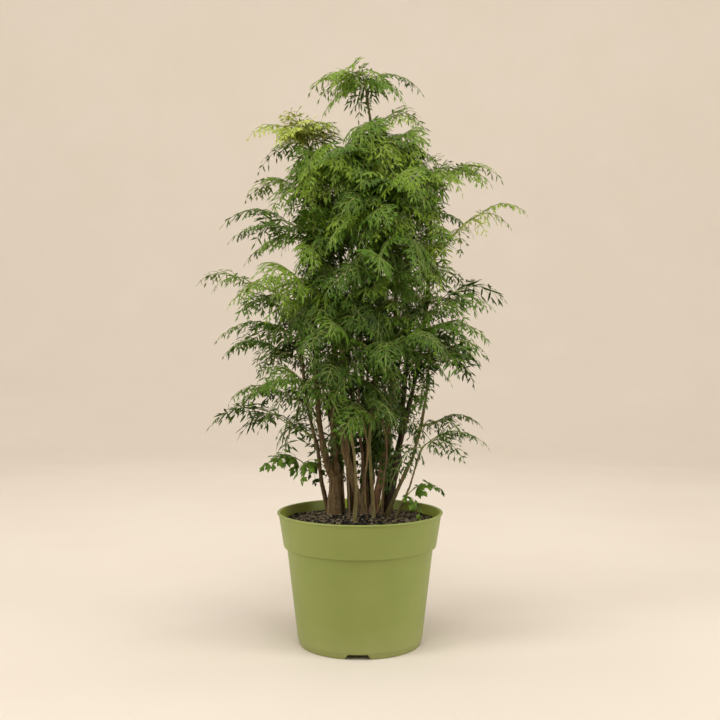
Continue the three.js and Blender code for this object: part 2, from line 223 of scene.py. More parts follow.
# %% Measure the pot
pot_low, pot_high = (Vector(corner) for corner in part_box("pot"))
RIM = (pot_high.x - pot_low.x) / 2
HEIGHT = pot_high.z
WALL = 2 * MM
LIP_HEIGHT = 3 * MM
LIP_OUT = 2 * MM
COLLAR = 46 * MM
COLLAR_TAPER = 7.5 * MM
STEP_IN = 4.4 * MM
STEP_HEIGHT = 3.2 * MM
STEP_UNDER = 0.5 * MM  # how much lower the step's inner edge is
BASE = 90.4 * MM
FOOT_HEIGHT = 8.5 * MM
FOOT_IN = 3.6 * MM
NOTCHES = 4
NOTCH_TURN = math.radians(-2)
DRAIN_CIRCLE = 62 * MM
DRAIN_RADIUS = 7 * MM
SEGMENTS = 192
print(f"the pot is {2000 * RIM:.0f} mm across and {1000 * HEIGHT:.0f} mm high")

# %% The lathe profile
collar_top = HEIGHT - LIP_HEIGHT
collar_foot = collar_top - COLLAR
wall_top = collar_foot - STEP_HEIGHT
collar_radius = RIM - LIP_OUT
step_radius = collar_radius - COLLAR_TAPER
wall_radius = step_radius - STEP_IN
foot_radius = BASE - FOOT_IN

# Each corner is (radius, height, rounding).
corners = [
    (0, FOOT_HEIGHT, 0),
    (foot_radius - WALL, FOOT_HEIGHT, 0.8 * MM),
    (foot_radius - WALL, 0, 0.7 * MM),
    (foot_radius, 0, 0.7 * MM),
    (BASE - 0.8 * MM, FOOT_HEIGHT - 0.7 * MM, 1.2 * MM),
    (BASE, FOOT_HEIGHT + 0.6 * MM, 0.8 * MM),
    (wall_radius, collar_foot - STEP_UNDER, 0.9 * MM),
    (step_radius, collar_foot, 0.7 * MM),
    (collar_radius, collar_top, 0.8 * MM),
    (RIM, collar_top + 0.6 * MM, 0.9 * MM),
    (RIM, HEIGHT, 1.1 * MM),
    (collar_radius - WALL, HEIGHT, 1.0 * MM),
    (step_radius - WALL, collar_foot + WALL / 2, 1.2 * MM),
    (wall_radius - WALL, wall_top + WALL / 2, 1.2 * MM),
    (BASE - WALL, FOOT_HEIGHT + WALL, 1.5 * MM),
    (0, FOOT_HEIGHT + WALL, 0),
]


def rounded(path, steps=4):
    """The path with each corner replaced by a short arc of its rounding."""
    points = []
    for i, (radius, height, size) in enumerate(path):
        here = Vector((radius, height))
        if not size:
            points.append(here)
            continue
        before, after = (Vector(path[i + step][:2]) for step in (-1, 1))
        start = here + (before - here).normalized() * min(size, (before - here).length / 2)
        end = here + (after - here).normalized() * min(size, (after - here).length / 2)
        for k in range(steps + 1):
            t = k / steps
            points.append((1 - t) ** 2 * start + 2 * t * (1 - t) * here + t * t * end)
    return points


def lathe(name, profile, segments):
    """Turns a profile that starts and ends on the axis into a closed mesh."""
    rings = profile[1:-1]
    points = [(0, 0, profile[0][1])]
    for radius, height in rings:
        for k in range(segments):
            turn = 2 * math.pi * k / segments
            points.append((radius * math.cos(turn), radius * math.sin(turn), height))
    points.append((0, 0, profile[-1][1]))
    faces = ring_faces(len(rings), segments) + closing_fan(len(rings), segments)
    made = bmesh.new()
    made.from_mesh(mesh_of(name, points, faces))
    bmesh.ops.recalc_face_normals(made, faces=made.faces)
    return mesh_from(name, made)


pot = object_of("pot_shell", lathe("pot_shell", rounded(corners), SEGMENTS))
print("the turned pot has", triangles(pot), "triangles")


# %% Cut the notches and the drain holes
NOTCH_HALF, NOTCH_TOP_HALF, NOTCH_HEIGHT, NOTCH_CORNER = 20 * MM, 15 * MM, 7.4 * MM, 2.5 * MM
CORNER_STEPS = 4


def notch_cutter():
    """A tapered block with round upper corners, pointing out through the foot ring."""
    outline = [(-NOTCH_HALF, -MM), (NOTCH_HALF, -MM)]
    for side, start in ((1, 0), (-1, 90)):
        for k in range(CORNER_STEPS + 1):
            turn = math.radians(start + 90 * k / CORNER_STEPS)
            x = side * (NOTCH_TOP_HALF - NOTCH_CORNER) + NOTCH_CORNER * math.cos(turn)
            outline.append((x, NOTCH_HEIGHT - NOTCH_CORNER + NOTCH_CORNER * math.sin(turn)))
    points = [(x, y, z) for y in (-BASE - WALL, -DRAIN_CIRCLE) for x, z in outline]
    count = len(outline)
    faces = [tuple(range(count)), tuple(reversed(range(count, 2 * count)))]
    faces += [(k, k + count, (k + 1) % count + count, (k + 1) % count) for k in range(count)]
    return points, faces


def drain_cutter(sides=24):
    turns = [2 * math.pi * k / sides for k in range(sides)]
    points = [
        (DRAIN_RADIUS * math.cos(t), DRAIN_RADIUS * math.sin(t) - DRAIN_CIRCLE, z)
        for z in (FOOT_HEIGHT - 2 * WALL, FOOT_HEIGHT + 3 * WALL)
        for t in turns
    ]
    faces = [tuple(reversed(range(sides))), tuple(range(sides, 2 * sides))]
    faces += [(k, (k + 1) % sides, (k + 1) % sides + sides, k + sides) for k in range(sides)]
    return points, faces


cutters = bmesh.new()
for shape in (notch_cutter(), drain_cutter()):
    for i in range(NOTCHES):
        turn = Matrix.Rotation(NOTCH_TURN + i * 2 * math.pi / NOTCHES, 4, "Z")
        verts = [cutters.verts.new(turn @ Vector(p)) for p in shape[0]]
        for face in shape[1]:
            cutters.faces.new([verts[k] for k in face])
bmesh.ops.recalc_face_normals(cutters, faces=cutters.faces)
cutter = object_of("cutters", mesh_from("cutters", cutters))
cut = pot.modifiers.new("cut", "BOOLEAN")
cut.operation, cut.solver, cut.object = "DIFFERENCE", "EXACT", cutter
plain(pot)
bpy.data.objects.remove(cutter)
smooth_by_angle(pot.data, 35)
print("the cut pot has", triangles(pot), "triangles")

# %% [markdown]
# ## The pot's plastic
# Moulded polypropylene is satin rather than glossy. Up close it has a faint grain from the mould, a
# little more shine where hands have rubbed it, and a film of dust and dried water low on the wall.
# Three noises at very different scales give those three things.

# %% Green plastic
# Moulded polypropylene, which gives an even, satin green with soft highlights. The numbers of the noises are
# features to a metre: broad patches of 110 mm, dust marks of 17 mm, and the mould's grain, of 0.7 mm.
BROAD_PATCHES, DUST_MARKS, MOULD_GRAIN = 9.0, 60.0, 1400.0
DUST_TOP = 50 * MM
plastic, tree = new_material("green_polypropylene")
place = add(tree, "ShaderNodeTexCoord").outputs["Object"]
broad = add(
    tree, "ShaderNodeTexNoise", {"Vector": place, "Scale": BROAD_PATCHES, "Detail": 3.0, "Roughness": 0.55}
)
outside = add(tree, "ShaderNodeValToRGB", {"Fac": broad}, stops=[(0.3, "#7b863c"), (0.7, "#838d44")])
# The inside faces the axis. It gets a brighter, stronger green, which is painted light: it stands for the
# light that glows through the thin wall.
normal = add(tree, "ShaderNodeNewGeometry").outputs["Normal"]
flat = add(tree, "ShaderNodeVectorMath", {0: place, 1: (1, 1, 0)}, operation="MULTIPLY")
outward = add(tree, "ShaderNodeVectorMath", {0: normal, 1: flat}, operation="DOT_PRODUCT")
inner = add(tree, "ShaderNodeMath", {0: outward, 1: 0.0}, operation="LESS_THAN")
inside_glow_mix = {"Factor": inner, "A": outside, "B": linear("#8d9a26")}
base = add(tree, "ShaderNodeMix", inside_glow_mix, data_type="RGBA")
height = add(tree, "ShaderNodeSeparateXYZ", {0: place}).outputs["Z"]
low = add(tree, "ShaderNodeMapRange", {"Value": height, "From Max": DUST_TOP, "To Min": 0.5, "To Max": 0.0})
patchy = add(
    tree, "ShaderNodeTexNoise", {"Vector": place, "Scale": DUST_MARKS, "Detail": 5.0, "Roughness": 0.7}
)
dust = add(tree, "ShaderNodeMath", {0: low, 1: patchy}, operation="MULTIPLY")
dusty = add(tree, "ShaderNodeMix", {"Factor": dust, "A": base, "B": linear("#a39d72")}, data_type="RGBA")
rubbed = {"Value": patchy, "From Min": 0.3, "From Max": 0.7, "To Min": 0.40, "To Max": 0.52}
rough = add(tree, "ShaderNodeMapRange", rubbed)
grain = add(
    tree, "ShaderNodeTexNoise", {"Vector": place, "Scale": MOULD_GRAIN, "Detail": 2.0, "Roughness": 0.55}
)
bump = add(tree, "ShaderNodeBump", {"Height": grain, "Strength": 0.12, "Distance": 0.2 * MM})
surface = {"Base Color": dusty, "Roughness": rough, "Normal": bump}
shader = add(tree, "ShaderNodeBsdfPrincipled", surface)
add(tree, "ShaderNodeOutputMaterial", {"Surface": shader})
pot.data.materials.append(plastic)
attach(pot, "root")
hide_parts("pot")

# %% [markdown]
# ## The potting mix
# Potting mix is peat and composted bark, mounded up to the stems and a finger's width below the rim. One
# closed body gives the mound, pushed about by noise so that it has lumps. Bark crumbs, pale chips and
# stray root fibres then lie on it as real pieces, because their outlines and shadows are what makes soil
# look like soil.

# %% The mound
soil_high = Vector(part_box("soil")[1])
SOIL_EDGE = HEIGHT - 13 * MM
SOIL_RADIUS = collar_radius - WALL - 1.6 * MM
SOIL_SIDES, SOIL_RINGS = 144, 46
LUMP, LUMPS_PER_M = 2.0 * MM, 38
CLOD, CLODS_PER_M = 1.3 * MM, 150
SETTLED = 1.5 * MM  # room for the lumps and the crumbs on top
SHOULDER = 0.7  # the share of the side's way up at which the pot's step begins


def soil_height(x, y):
    """The mound's height over the floor, with lumps and clods."""
    share = min(1.0, math.hypot(x, y) / SOIL_RADIUS)
    mound = (soil_high.z - SOIL_EDGE) * (1 + math.cos(math.pi * share)) / 2
    lumps = LUMP * noise.noise(Vector((x, y, 0)) * LUMPS_PER_M)
    clods = CLOD * noise.noise(Vector((x, y, 3)) * CLODS_PER_M)
    return SOIL_EDGE - SETTLED + mound + lumps + clods


def soil_side(share):
    """How far out and up the side of the soil is, from its foot to its top edge."""
    foot = Vector((BASE - 2 * WALL, FOOT_HEIGHT + WALL + 0.4 * MM))
    below_step = Vector((wall_radius - 2 * WALL, wall_top))
    edge = Vector((SOIL_RADIUS, SOIL_EDGE - 2 * SETTLED))
    if share < SHOULDER:
        return foot.lerp(below_step, share / SHOULDER)
    return below_step.lerp(edge, (share - SHOULDER) / (1 - SHOULDER))


points = [(0, 0, soil_height(0, 0))]
turns = [2 * math.pi * k / SOIL_SIDES for k in range(SOIL_SIDES)]
for ring in range(1, SOIL_RINGS + 1):
    radius = SOIL_RADIUS * ring / SOIL_RINGS
    for turn in turns:
        x, y = radius * math.cos(turn), radius * math.sin(turn)
        points.append((x, y, soil_height(x, y)))
SIDE_SHARES = (0.999, SHOULDER, SHOULDER / 2, 0.0)
for share in SIDE_SHARES:
    radius, z = soil_side(share)
    points += [(radius * math.cos(turn), radius * math.sin(turn), z) for turn in turns]
points.append((0, 0, soil_side(0)[1]))
soil_rings = SOIL_RINGS + len(SIDE_SHARES)
faces = ring_faces(soil_rings, SOIL_SIDES) + closing_fan(soil_rings, SOIL_SIDES)
soil = object_of("soil_mound", mesh_of("soil_mound", points, faces))
soil.data.shade_smooth()
print("the mound has", triangles(soil), "triangles")

# %% [markdown]
# ## Soil finishes
# Damp peat is nearly black, dry bark is a warm brown, the odd chip has faded to straw, and dry roots are
# tan. Each crumb carries its own random tone, so all of these are one shader with different colour ramps.


# %% Soil, crumb and fibre materials
def earth(name, stops, speckles=900.0):
    """Open matter with hardly any shine. Its speckles to a metre set how coarse it looks: 900 are 1 mm."""
    made, tree = new_material(name)
    place = add(tree, "ShaderNodeTexCoord").outputs["Object"]
    tone = add(tree, "ShaderNodeAttribute", attribute_name="tone").outputs["Fac"]
    grains = {"Vector": place, "Scale": speckles, "Detail": 5.0, "Roughness": 0.7}
    speckle = add(tree, "ShaderNodeTexNoise", grains)
    blend = add(tree, "ShaderNodeMath", {0: tone, 1: speckle}, operation="ADD")
    half = add(tree, "ShaderNodeMath", {0: blend, 1: 0.5}, operation="MULTIPLY")
    colour = add(tree, "ShaderNodeValToRGB", {"Fac": half}, stops=stops)
    bump = add(tree, "ShaderNodeBump", {"Height": speckle, "Strength": 0.6, "Distance": 0.6 * MM})
    surface = {"Base Color": colour, "Roughness": 0.95, "Specular IOR Level": 0.25, "Normal": bump}
    shader = add(tree, "ShaderNodeBsdfPrincipled", surface)
    add(tree, "ShaderNodeOutputMaterial", {"Surface": shader})
    return made


peat = earth("damp_peat", [(0.3, "#0b0805"), (0.5, "#17120b"), (0.7, "#2f271a")], 260.0)
bark_crumb = earth("bark_crumb", [(0.3, "#0d0a06"), (0.5, "#30271b"), (0.7, "#7c7058")])
pale_chip = earth("pale_chip", [(0.2, "#6c6656"), (0.5, "#8f8874"), (0.8, "#b3ab96")])
root_fibre = earth("root_fibre", [(0.2, "#6f6043"), (0.8, "#9b8a65")])
soil.data.materials.append(peat)
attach(soil, "root")
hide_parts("soil")

# %% Crumb shapes
DENT, DENTS = 0.55, 1.3  # how deep and how close the dents are
APART = 7.1  # between the places where two crumbs take their noise


def crumb(name, seed, stretch):
    """A small broken chip: an icosphere flattened, stretched and dented."""
    made = bmesh.new()
    bmesh.ops.create_icosphere(made, subdivisions=1, radius=1.0)
    for vert in made.verts:
        dent = 1 + DENT * noise.noise(vert.co * DENTS + Vector((seed * APART, 0, 0)))
        vert.co = Vector(size * share for size, share in zip(vert.co, stretch)) * dent
    return object_of(name, mesh_from(name, made))


def shelf(name, members):
    """A hidden collection that a node tree takes its templates from."""
    kept = bpy.data.collections.new(name)
    for member in members:
        bpy.context.scene.collection.objects.unlink(member)
        kept.objects.link(member)
    return kept


CRUMB_STRETCHES = [(1.1, 0.55, 0.35), (1.3, 0.4, 0.35), (0.8, 0.8, 0.6), (1.7, 0.28, 0.22)]
crumb_forms = [crumb(f"crumb_{seed}", seed, stretch) for seed, stretch in enumerate(CRUMB_STRETCHES, 1)]
crumbs = shelf("crumbs", crumb_forms)


# %% A tree that scatters crumbs
def scatter_tree():
    """Scatters a collection's pieces over the upward faces of a mesh, inside a radius."""
    sockets = {"Pieces": "Collection", "Material": "Material", "Seed": "Int"}
    sockets.update(dict.fromkeys(("Spacing", "Density", "Smallest", "Largest", "Reach"), "Float"))
    tree, given = new_tree("Scatter on the soil", sockets)
    normal = add(tree, "GeometryNodeInputNormal")
    up = add(tree, "ShaderNodeSeparateXYZ", {0: normal}).outputs["Z"]
    place = add(tree, "GeometryNodeInputPosition")
    flat = add(tree, "ShaderNodeVectorMath", {0: place, 1: (1, 1, 0)}, operation="MULTIPLY")
    radius = add(tree, "ShaderNodeVectorMath", {0: flat}, operation="LENGTH")
    inside = add(tree, "ShaderNodeMath", {0: radius, 1: given["Reach"]}, operation="LESS_THAN")
    facing = add(tree, "ShaderNodeMath", {0: up, 1: 0.6}, operation="GREATER_THAN")
    upward = add(tree, "ShaderNodeMath", {0: inside, 1: facing}, operation="MULTIPLY")
    inputs = {
        "Mesh": given["Geometry"],
        "Selection": upward,
        "Distance Min": given["Spacing"],
        "Density Max": given["Density"],
        "Seed": given["Seed"],
    }
    spots = add(tree, "GeometryNodeDistributePointsOnFaces", inputs, distribute_method="POISSON")
    inputs = {"Min": (-0.6, -0.6, 0.0), "Max": (0.6, 0.6, 2 * math.pi), "Seed": given["Seed"]}
    turn = add(tree, "FunctionNodeRandomValue", inputs, data_type="FLOAT_VECTOR")
    inputs = {"Min": given["Smallest"], "Max": given["Largest"], "Seed": given["Seed"]}
    size = add(tree, "FunctionNodeRandomValue", inputs, data_type="FLOAT")
    tone = add(tree, "FunctionNodeRandomValue", {"Seed": given["Seed"]}, data_type="FLOAT")
    inputs = {"Geometry": spots, "Name": "tone", "Value": tone}
    toned = add(tree, "GeometryNodeStoreNamedAttribute", inputs, data_type="FLOAT", domain="POINT")
    inputs = {"Collection": given["Pieces"], "Separate Children": True, "Reset Children": True}
    pieces = add(tree, "GeometryNodeCollectionInfo", inputs)
    inputs = {"Points": toned, "Instance": pieces, "Pick Instance": True, "Rotation": turn, "Scale": size}
    placed = add(tree, "GeometryNodeInstanceOnPoints", inputs)
    real = add(tree, "GeometryNodeRealizeInstances", {"Geometry": placed})
    finish = add(tree, "GeometryNodeSetMaterial", {"Geometry": real, "Material": given["Material"]})
    add(tree, "NodeGroupOutput", {0: finish})
    return tree


def grow(piece, group, **values):
    """Runs a tree on a piece, with its named inputs set by their identifiers, and leaves a plain mesh."""
    modifier = piece.modifiers.new(group.name, "NODES")
    modifier.node_group = group
    for item in group.interface.items_tree:
        key = item.name.replace(" ", "_")
        if item.in_out == "INPUT" and key in values:
            modifier[item.identifier] = values[key]
    return plain(piece)


# %% Scatter crumbs and chips on the mound
scatter = scatter_tree()


def scattered(name, material, **values):
    piece = object_of(name, soil.data.copy())
    piece.data.materials.clear()
    grow(piece, scatter, Pieces=crumbs, Material=material, **values)
    piece.data.shade_flat()
    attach(piece, "root")
    print(name, triangles(piece), "triangles")


scattered(
    "bark_crumbs",
    bark_crumb,
    Spacing=2.7 * MM,
    Density=90000.0,
    Smallest=1.0 * MM,
    Largest=3.9 * MM,
    Reach=SOIL_RADIUS - 6 * MM,
    Seed=3,
)
scattered(
    "pale_chips",
    pale_chip,
    Spacing=9 * MM,
    Density=4500.0,
    Smallest=0.8 * MM,
    Largest=2.2 * MM,
    Reach=SOIL_RADIUS - 4 * MM,
    Seed=11,
)

# %% [markdown]
# ## Stalks and fibres
# Twigs, leaf stalks and root fibres are all thin round threads that follow a path and taper. One tree
# makes them all: it reads each vertex's radius, sweeps a small circle along the edges and closes both
# ends.


# %% A tree for thin round stalks
def swept(tree, curve, sides):
    """Adds the nodes that sweep a circle along a curve by its stored thickness."""
    radius = add(tree, "GeometryNodeInputNamedAttribute", {"Name": "thickness"}, data_type="FLOAT")
    circle = add(tree, "GeometryNodeCurvePrimitiveCircle", {"Resolution": sides, "Radius": 1.0})
    sized = add(tree, "GeometryNodeSetCurveRadius", {"Curve": curve, "Radius": radius})
    inputs = {"Curve": sized, "Profile Curve": circle, "Scale": radius, "Fill Caps": True}
    return add(tree, "GeometryNodeCurveToMesh", inputs)


def stalk_tree():
    tree, given = new_tree("Round stalks", {"Sides": "Int", "Material": "Material"})
    curve = add(tree, "GeometryNodeMeshToCurve", {"Mesh": given["Geometry"]})
    body = swept(tree, curve, given["Sides"])
    finish = add(tree, "GeometryNodeSetMaterial", {"Geometry": body, "Material": given["Material"]})
    add(tree, "NodeGroupOutput", {0: finish})
    return tree


def threads(name, paths, radii, **attributes):
    """A mesh of bare edges, one run per path, with each vertex's radius and any other values."""
    points, edges, thickness = [], [], []
    for path, radius in zip(paths, radii):
        start = len(points)
        points += path
        edges += [(start + k, start + k + 1) for k in range(len(path) - 1)]
        thickness += radius
    mesh = mesh_of(name, points, [], edges)
    for key, values in {"thickness": thickness, **attributes}.items():
        is_vector = isinstance(values[0], Vector)
        layer = mesh.attributes.new(key, "FLOAT_VECTOR" if is_vector else "FLOAT", "POINT")
        flat = np.array(values, dtype=float).ravel().tolist()
        layer.data.foreach_set("vector" if is_vector else "value", flat)
    return object_of(name, mesh)

# %% Root fibres
FIBRES, FIBRE_STEPS, FIBRE_STEP = 44, 9, 2.6 * MM
stalks = stalk_tree()
dice = random.Random(5)
paths, radii = [], []
for _ in range(FIBRES):
    radius = SOIL_RADIUS * math.sqrt(dice.uniform(0.05, 0.85))
    turn, heading = dice.uniform(0, 2 * math.pi), dice.uniform(0, 2 * math.pi)
    x, y = radius * math.cos(turn), radius * math.sin(turn)
    path = []
    for k in range(FIBRE_STEPS):
        if math.hypot(x, y) > SOIL_RADIUS - 2 * MM:
            break
        path.append((x, y, soil_height(x, y) + (1.4 + 0.8 * math.sin(1.1 * k)) * MM))
        heading += dice.uniform(-0.5, 0.5)
        x, y = x + FIBRE_STEP * math.cos(heading), y + FIBRE_STEP * math.sin(heading)
    if len(path) > 3:
        paths.append(path)
        radii.append([(0.42 - 0.03 * k) * MM for k in range(len(path))])
fibres = threads("root_fibres", paths, radii)
grow(fibres, stalks, Sides=5, Material=root_fibre)
fibres.data.shade_smooth()
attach(fibres, "root")
print("root fibres:", triangles(fibres), "triangles")

# %% [markdown]
# ## The stems
# An old aralia cane is grey-brown and knobbly. Every leaf that it has dropped leaves a raised ring, and
# the bark splits into shallow furrows between them. Young canes are greener and smoother. Each stem
# starts as a copy of its frame node, so that it stays where the leaves join it. A voxel remesh gives it
# even, fine faces, and the furrows and rings are then pushed in and out by a formula.

# %% Bark on the stems
TRUNK_VOXEL, CANE_VOXEL = 1.4 * MM, 1.0 * MM
SCAR_STEP = 11 * MM  # from one ring of leaf scars to the next
# Where an old trunk was once cut: the height of its knob, and how far that stands out.
KNOBS = {"trunk_left": (0.243, 1.6 * MM), "trunk_right": (0.258, 2.6 * MM)}
# How far a stem swells at the soil, where that isn't just a little.
FLARES = {"trunk_left": 1.5 * MM, "stem_centre_right": 2.4 * MM}
SMALL_FLARE, FLARE_HEIGHT = 0.7 * MM, 24 * MM


def bark_push(point, knots, furrows):
    """How far the bark stands out at a point: rings of leaf scars, furrows and fine grain."""
    wobble = 0.35 * noise.noise(point * 60)
    ring = math.sin(2 * math.pi * (point.z / SCAR_STEP + wobble))
    scar = max(0.0, ring - 0.72) / 0.28
    long_grain = noise.noise(Vector((point.x * 420, point.y * 420, point.z * 45)))
    lump = noise.noise(point * 110)
    bulge = noise.noise(point * 34)
    return knots * scar + furrows * (0.6 * long_grain + 0.5 * lump + 2.0 * bulge)


def swelling(name, z):
    """How much a stem swells towards the soil and at its knob."""
    knob_height, knob = KNOBS.get(name, (0.0, 0.0))
    flare = FLARES.get(name, SMALL_FLARE) * math.exp(-max(0.0, z - soil_high.z) / FLARE_HEIGHT)
    return flare + knob * math.exp(-(((z - knob_height) / SCAR_STEP) ** 2))


def stem_piece(name):
    thick = name.startswith("trunk_")
    piece = object_of(name + "_bark", mesh_from(name + "_bark", merged_copy(name)))
    even = piece.modifiers.new("even", "REMESH")
    even.mode, even.voxel_size = "VOXEL", TRUNK_VOXEL if thick else CANE_VOXEL
    soften = piece.modifiers.new("soften", "SMOOTH")
    soften.factor, soften.iterations = 0.5, 6
    plain(piece)
    knots, furrows = (0.45 * MM, 0.75 * MM) if thick else (0.32 * MM, 0.3 * MM)
    normals = [vert.normal.copy() for vert in piece.data.vertices]
    for vert, normal in zip(piece.data.vertices, normals):
        vert.co += normal * (bark_push(vert.co, knots, furrows) + swelling(name, vert.co.z))
    piece.data.shade_smooth()
    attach(piece, "root")
    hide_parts(name)
    return piece


stem_pieces = {name: stem_piece(name) for name in stems}
print("the stems have", sum(triangles(p) for p in stem_pieces.values()), "triangles")

# %% [markdown]
# ## Young canes
# Between the old stems a pot like this holds several thin young canes, too many to be frame nodes of
# their own. They are swept by the stalk tree, as one piece.

# %% Young canes
# Each is where it leaves the soil (x, y), where its top is (x, y, z), and its radius, in millimetres.
YOUNG_CANES = [
    ((-22, 24), (-46, 34, 560), 2.4),
    ((-10, 34), (-14, 66, 600), 3.0),
    ((4, 20), (-10, 20, 640), 2.2),
    ((10, 36), (22, 74, 580), 2.8),
    ((30, 2), (40, -16, 520), 1.6),
    ((32, 34), (74, 50, 560), 2.6),
    ((-30, 36), (-80, 58, 520), 2.4),
    ((10, -30), (2, -46, 470), 1.5),
    ((-2, 52), (6, 96, 540), 2.6),
    ((-14, -8), (-34, -28, 450), 1.6),
]
CANE_POINTS, CANE_SWAY = 44, 16 * MM
NODE_EVERY, NODE_OUT = 4, 0.22  # a ring at every fourth point, and how far it stands out, in millimetres
cane_dice = random.Random(9)
paths, radii = [], []
for (x, y), (top_x, top_y, top_z), radius in YOUNG_CANES:
    start = Vector((x, y, 1000 * soil_high.z - 14)) * MM
    end = Vector((top_x, top_y, top_z)) * MM
    phase = cane_dice.uniform(0, 100)
    path, widths = [], []
    for k in range(CANE_POINTS):
        t = k / (CANE_POINTS - 1)
        sway = CANE_SWAY * math.sin(math.pi * t)
        bend = Vector((noise.noise(Vector((phase, 4 * t, 0))), noise.noise(Vector((0, 4 * t, phase))), 0))
        path.append(start.lerp(end, t) + bend * sway)
        widths.append((radius * (1 - 0.45 * t) + NODE_OUT * (k % NODE_EVERY == 0)) * MM)
    paths.append(path)
    radii.append(widths)
young_canes = threads("young_canes", paths, radii)

# %% [markdown]
# ## Bark
# The bark's colour runs from grey-brown in the old wood to olive where a cane is young. Height drives
# that change. Stretched noise gives the long grain.


# %% Bark materials
# Noises, in features to a metre: grain of 2.4 mm, drawn out along the stem, and lichen blotches of 14 mm.
BARK_GRAIN, BARK_BLOTCHES, GRAIN_DRAWN = 420.0, 70.0, 0.16
GREENING = 0.22  # the height over which a stem turns from old bark to young


def bark(name, old, young, furrow, green_from):
    """Dry, ridged bark with no shine, which darkens in its furrows."""
    made, tree = new_material(name)
    place = add(tree, "ShaderNodeTexCoord").outputs["Object"]
    height = add(tree, "ShaderNodeSeparateXYZ", {0: place}).outputs["Z"]
    drawn = add(tree, "ShaderNodeMapping", {"Vector": place, "Scale": (1.0, 1.0, GRAIN_DRAWN)})
    inputs = {"Vector": drawn, "Scale": BARK_GRAIN, "Detail": 6.0, "Roughness": 0.65}
    streaks = add(tree, "ShaderNodeTexNoise", inputs)
    inputs = {"Vector": place, "Scale": BARK_BLOTCHES, "Detail": 3.0, "Roughness": 0.55}
    blotches = add(tree, "ShaderNodeTexNoise", inputs)
    inputs = {"Value": height, "From Min": green_from, "From Max": green_from + GREENING}
    age = add(tree, "ShaderNodeMapRange", inputs)
    inputs = {"Factor": age, "A": linear(old), "B": linear(young)}
    body = add(tree, "ShaderNodeMix", inputs, data_type="RGBA")
    inputs = {"Factor": blotches, "A": body, "B": linear("#8d7c63")}
    pale = add(tree, "ShaderNodeMix", inputs, data_type="RGBA", blend_type="SOFT_LIGHT")
    dark = add(tree, "ShaderNodeValToRGB", {"Fac": streaks}, stops=[(0.35, "#4a4a4a"), (0.62, "#ffffff")])
    inputs = {"Factor": furrow, "A": pale, "B": dark}
    colour = add(tree, "ShaderNodeMix", inputs, data_type="RGBA", blend_type="MULTIPLY")
    bump = add(tree, "ShaderNodeBump", {"Height": streaks, "Strength": 0.55, "Distance": 0.8 * MM})
    surface = {"Base Color": colour, "Roughness": 0.82, "Specular IOR Level": 0.3, "Normal": bump}
    shader = add(tree, "ShaderNodeBsdfPrincipled", surface)
    add(tree, "ShaderNodeOutputMaterial", {"Surface": shader})
    return made


grey_bark = bark("grey_bark", "#83704f", "#6b6a40", 0.7, 0.30)
warm_bark = bark("warm_bark", "#a3846a", "#7a6c48", 0.6, 0.27)
dark_bark = bark("dark_bark", "#443723", "#4b4829", 0.75, 0.30)
green_bark = bark("green_bark", "#7d7549", "#6a7440", 0.5, 0.26)
grow(young_canes, stalks, Sides=8, Material=grey_bark)
young_canes.data.shade_smooth()
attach(young_canes, "root")
print("young canes:", triangles(young_canes), "triangles")
STEM_BARKS = {
    "stem_centre_right": warm_bark,
    "trunk_right": dark_bark,
    "stem_back_left": dark_bark,
    "stem_back_centre": dark_bark,
    "stem_front_green": green_bark,
    "stem_front": green_bark,
    "stem_right_thin": green_bark,
    "stem_right_outer": green_bark,
}
for name, piece in stem_pieces.items():
    piece.data.materials.append(STEM_BARKS.get(name, grey_bark))

# %% [markdown]
# ## The leaves
# A ming aralia's leaf is compound three times over. A stalk carries pairs of side branches called pinnae,
# each pinna carries pairs of leaflets, and each leaflet is narrow, pointed and often toothed. Modelling
# every one by hand would be hopeless, and a picture of a leaf on a flat card looks flat from every other
# side. So a few leaflets are modelled with as few faces as their shape allows, and a node tree sets them
# along every pinna.


# %% One thin blade
def blade(made, root, turn, length, width, sag, stations=((0.26, 0.9), (0.62, 0.8))):
    """A closed blade, pointed at both ends and ridged on top, that sags towards its tip."""
    along = Vector((math.cos(turn), math.sin(turn), 0))
    side = Vector((-along.y, along.x, 0))

    def at(t, out, rise):
        fall = Vector((0, 0, rise * width - sag * length * t * t))
        return made.verts.new(root + along * (length * t) + side * (out * width / 2) + fall)

    base, tip = at(0, 0, 0), at(1, 0, 0)
    left, right, ridge = zip(*[(at(t, w, -0.10), at(t, -w, -0.10), at(t, 0, 0.10)) for t, w in stations])
    made.faces.new((base, ridge[0], left[0]))
    made.faces.new((base, right[0], ridge[0]))
    made.faces.new((base, left[0], right[0]))
    for k in range(len(stations) - 1):
        made.faces.new((left[k], ridge[k], ridge[k + 1], left[k + 1]))
        made.faces.new((ridge[k], right[k], right[k + 1], ridge[k + 1]))
        made.faces.new((right[k], left[k], left[k + 1], right[k + 1]))
    made.faces.new((left[-1], ridge[-1], tip))
    made.faces.new((ridge[-1], right[-1], tip))
    made.faces.new((right[-1], left[-1], tip))


# %% The leaflet forms
def leaflet(name, width, sag, teeth):
    """A leaflet one unit long along X, with side teeth given as (place, turn, length)."""
    made = bmesh.new()
    blade(made, Vector(), 0.0, 1.0, width, sag)
    for place, turn, length in teeth:
        root = Vector((place, 0, -sag * place * place))
        blade(made, root, math.radians(turn), length, 0.62 * width, 1.6 * sag, stations=((0.45, 1.0),))
    bmesh.ops.recalc_face_normals(made, faces=made.faces)
    return object_of(name, mesh_from(name, made))


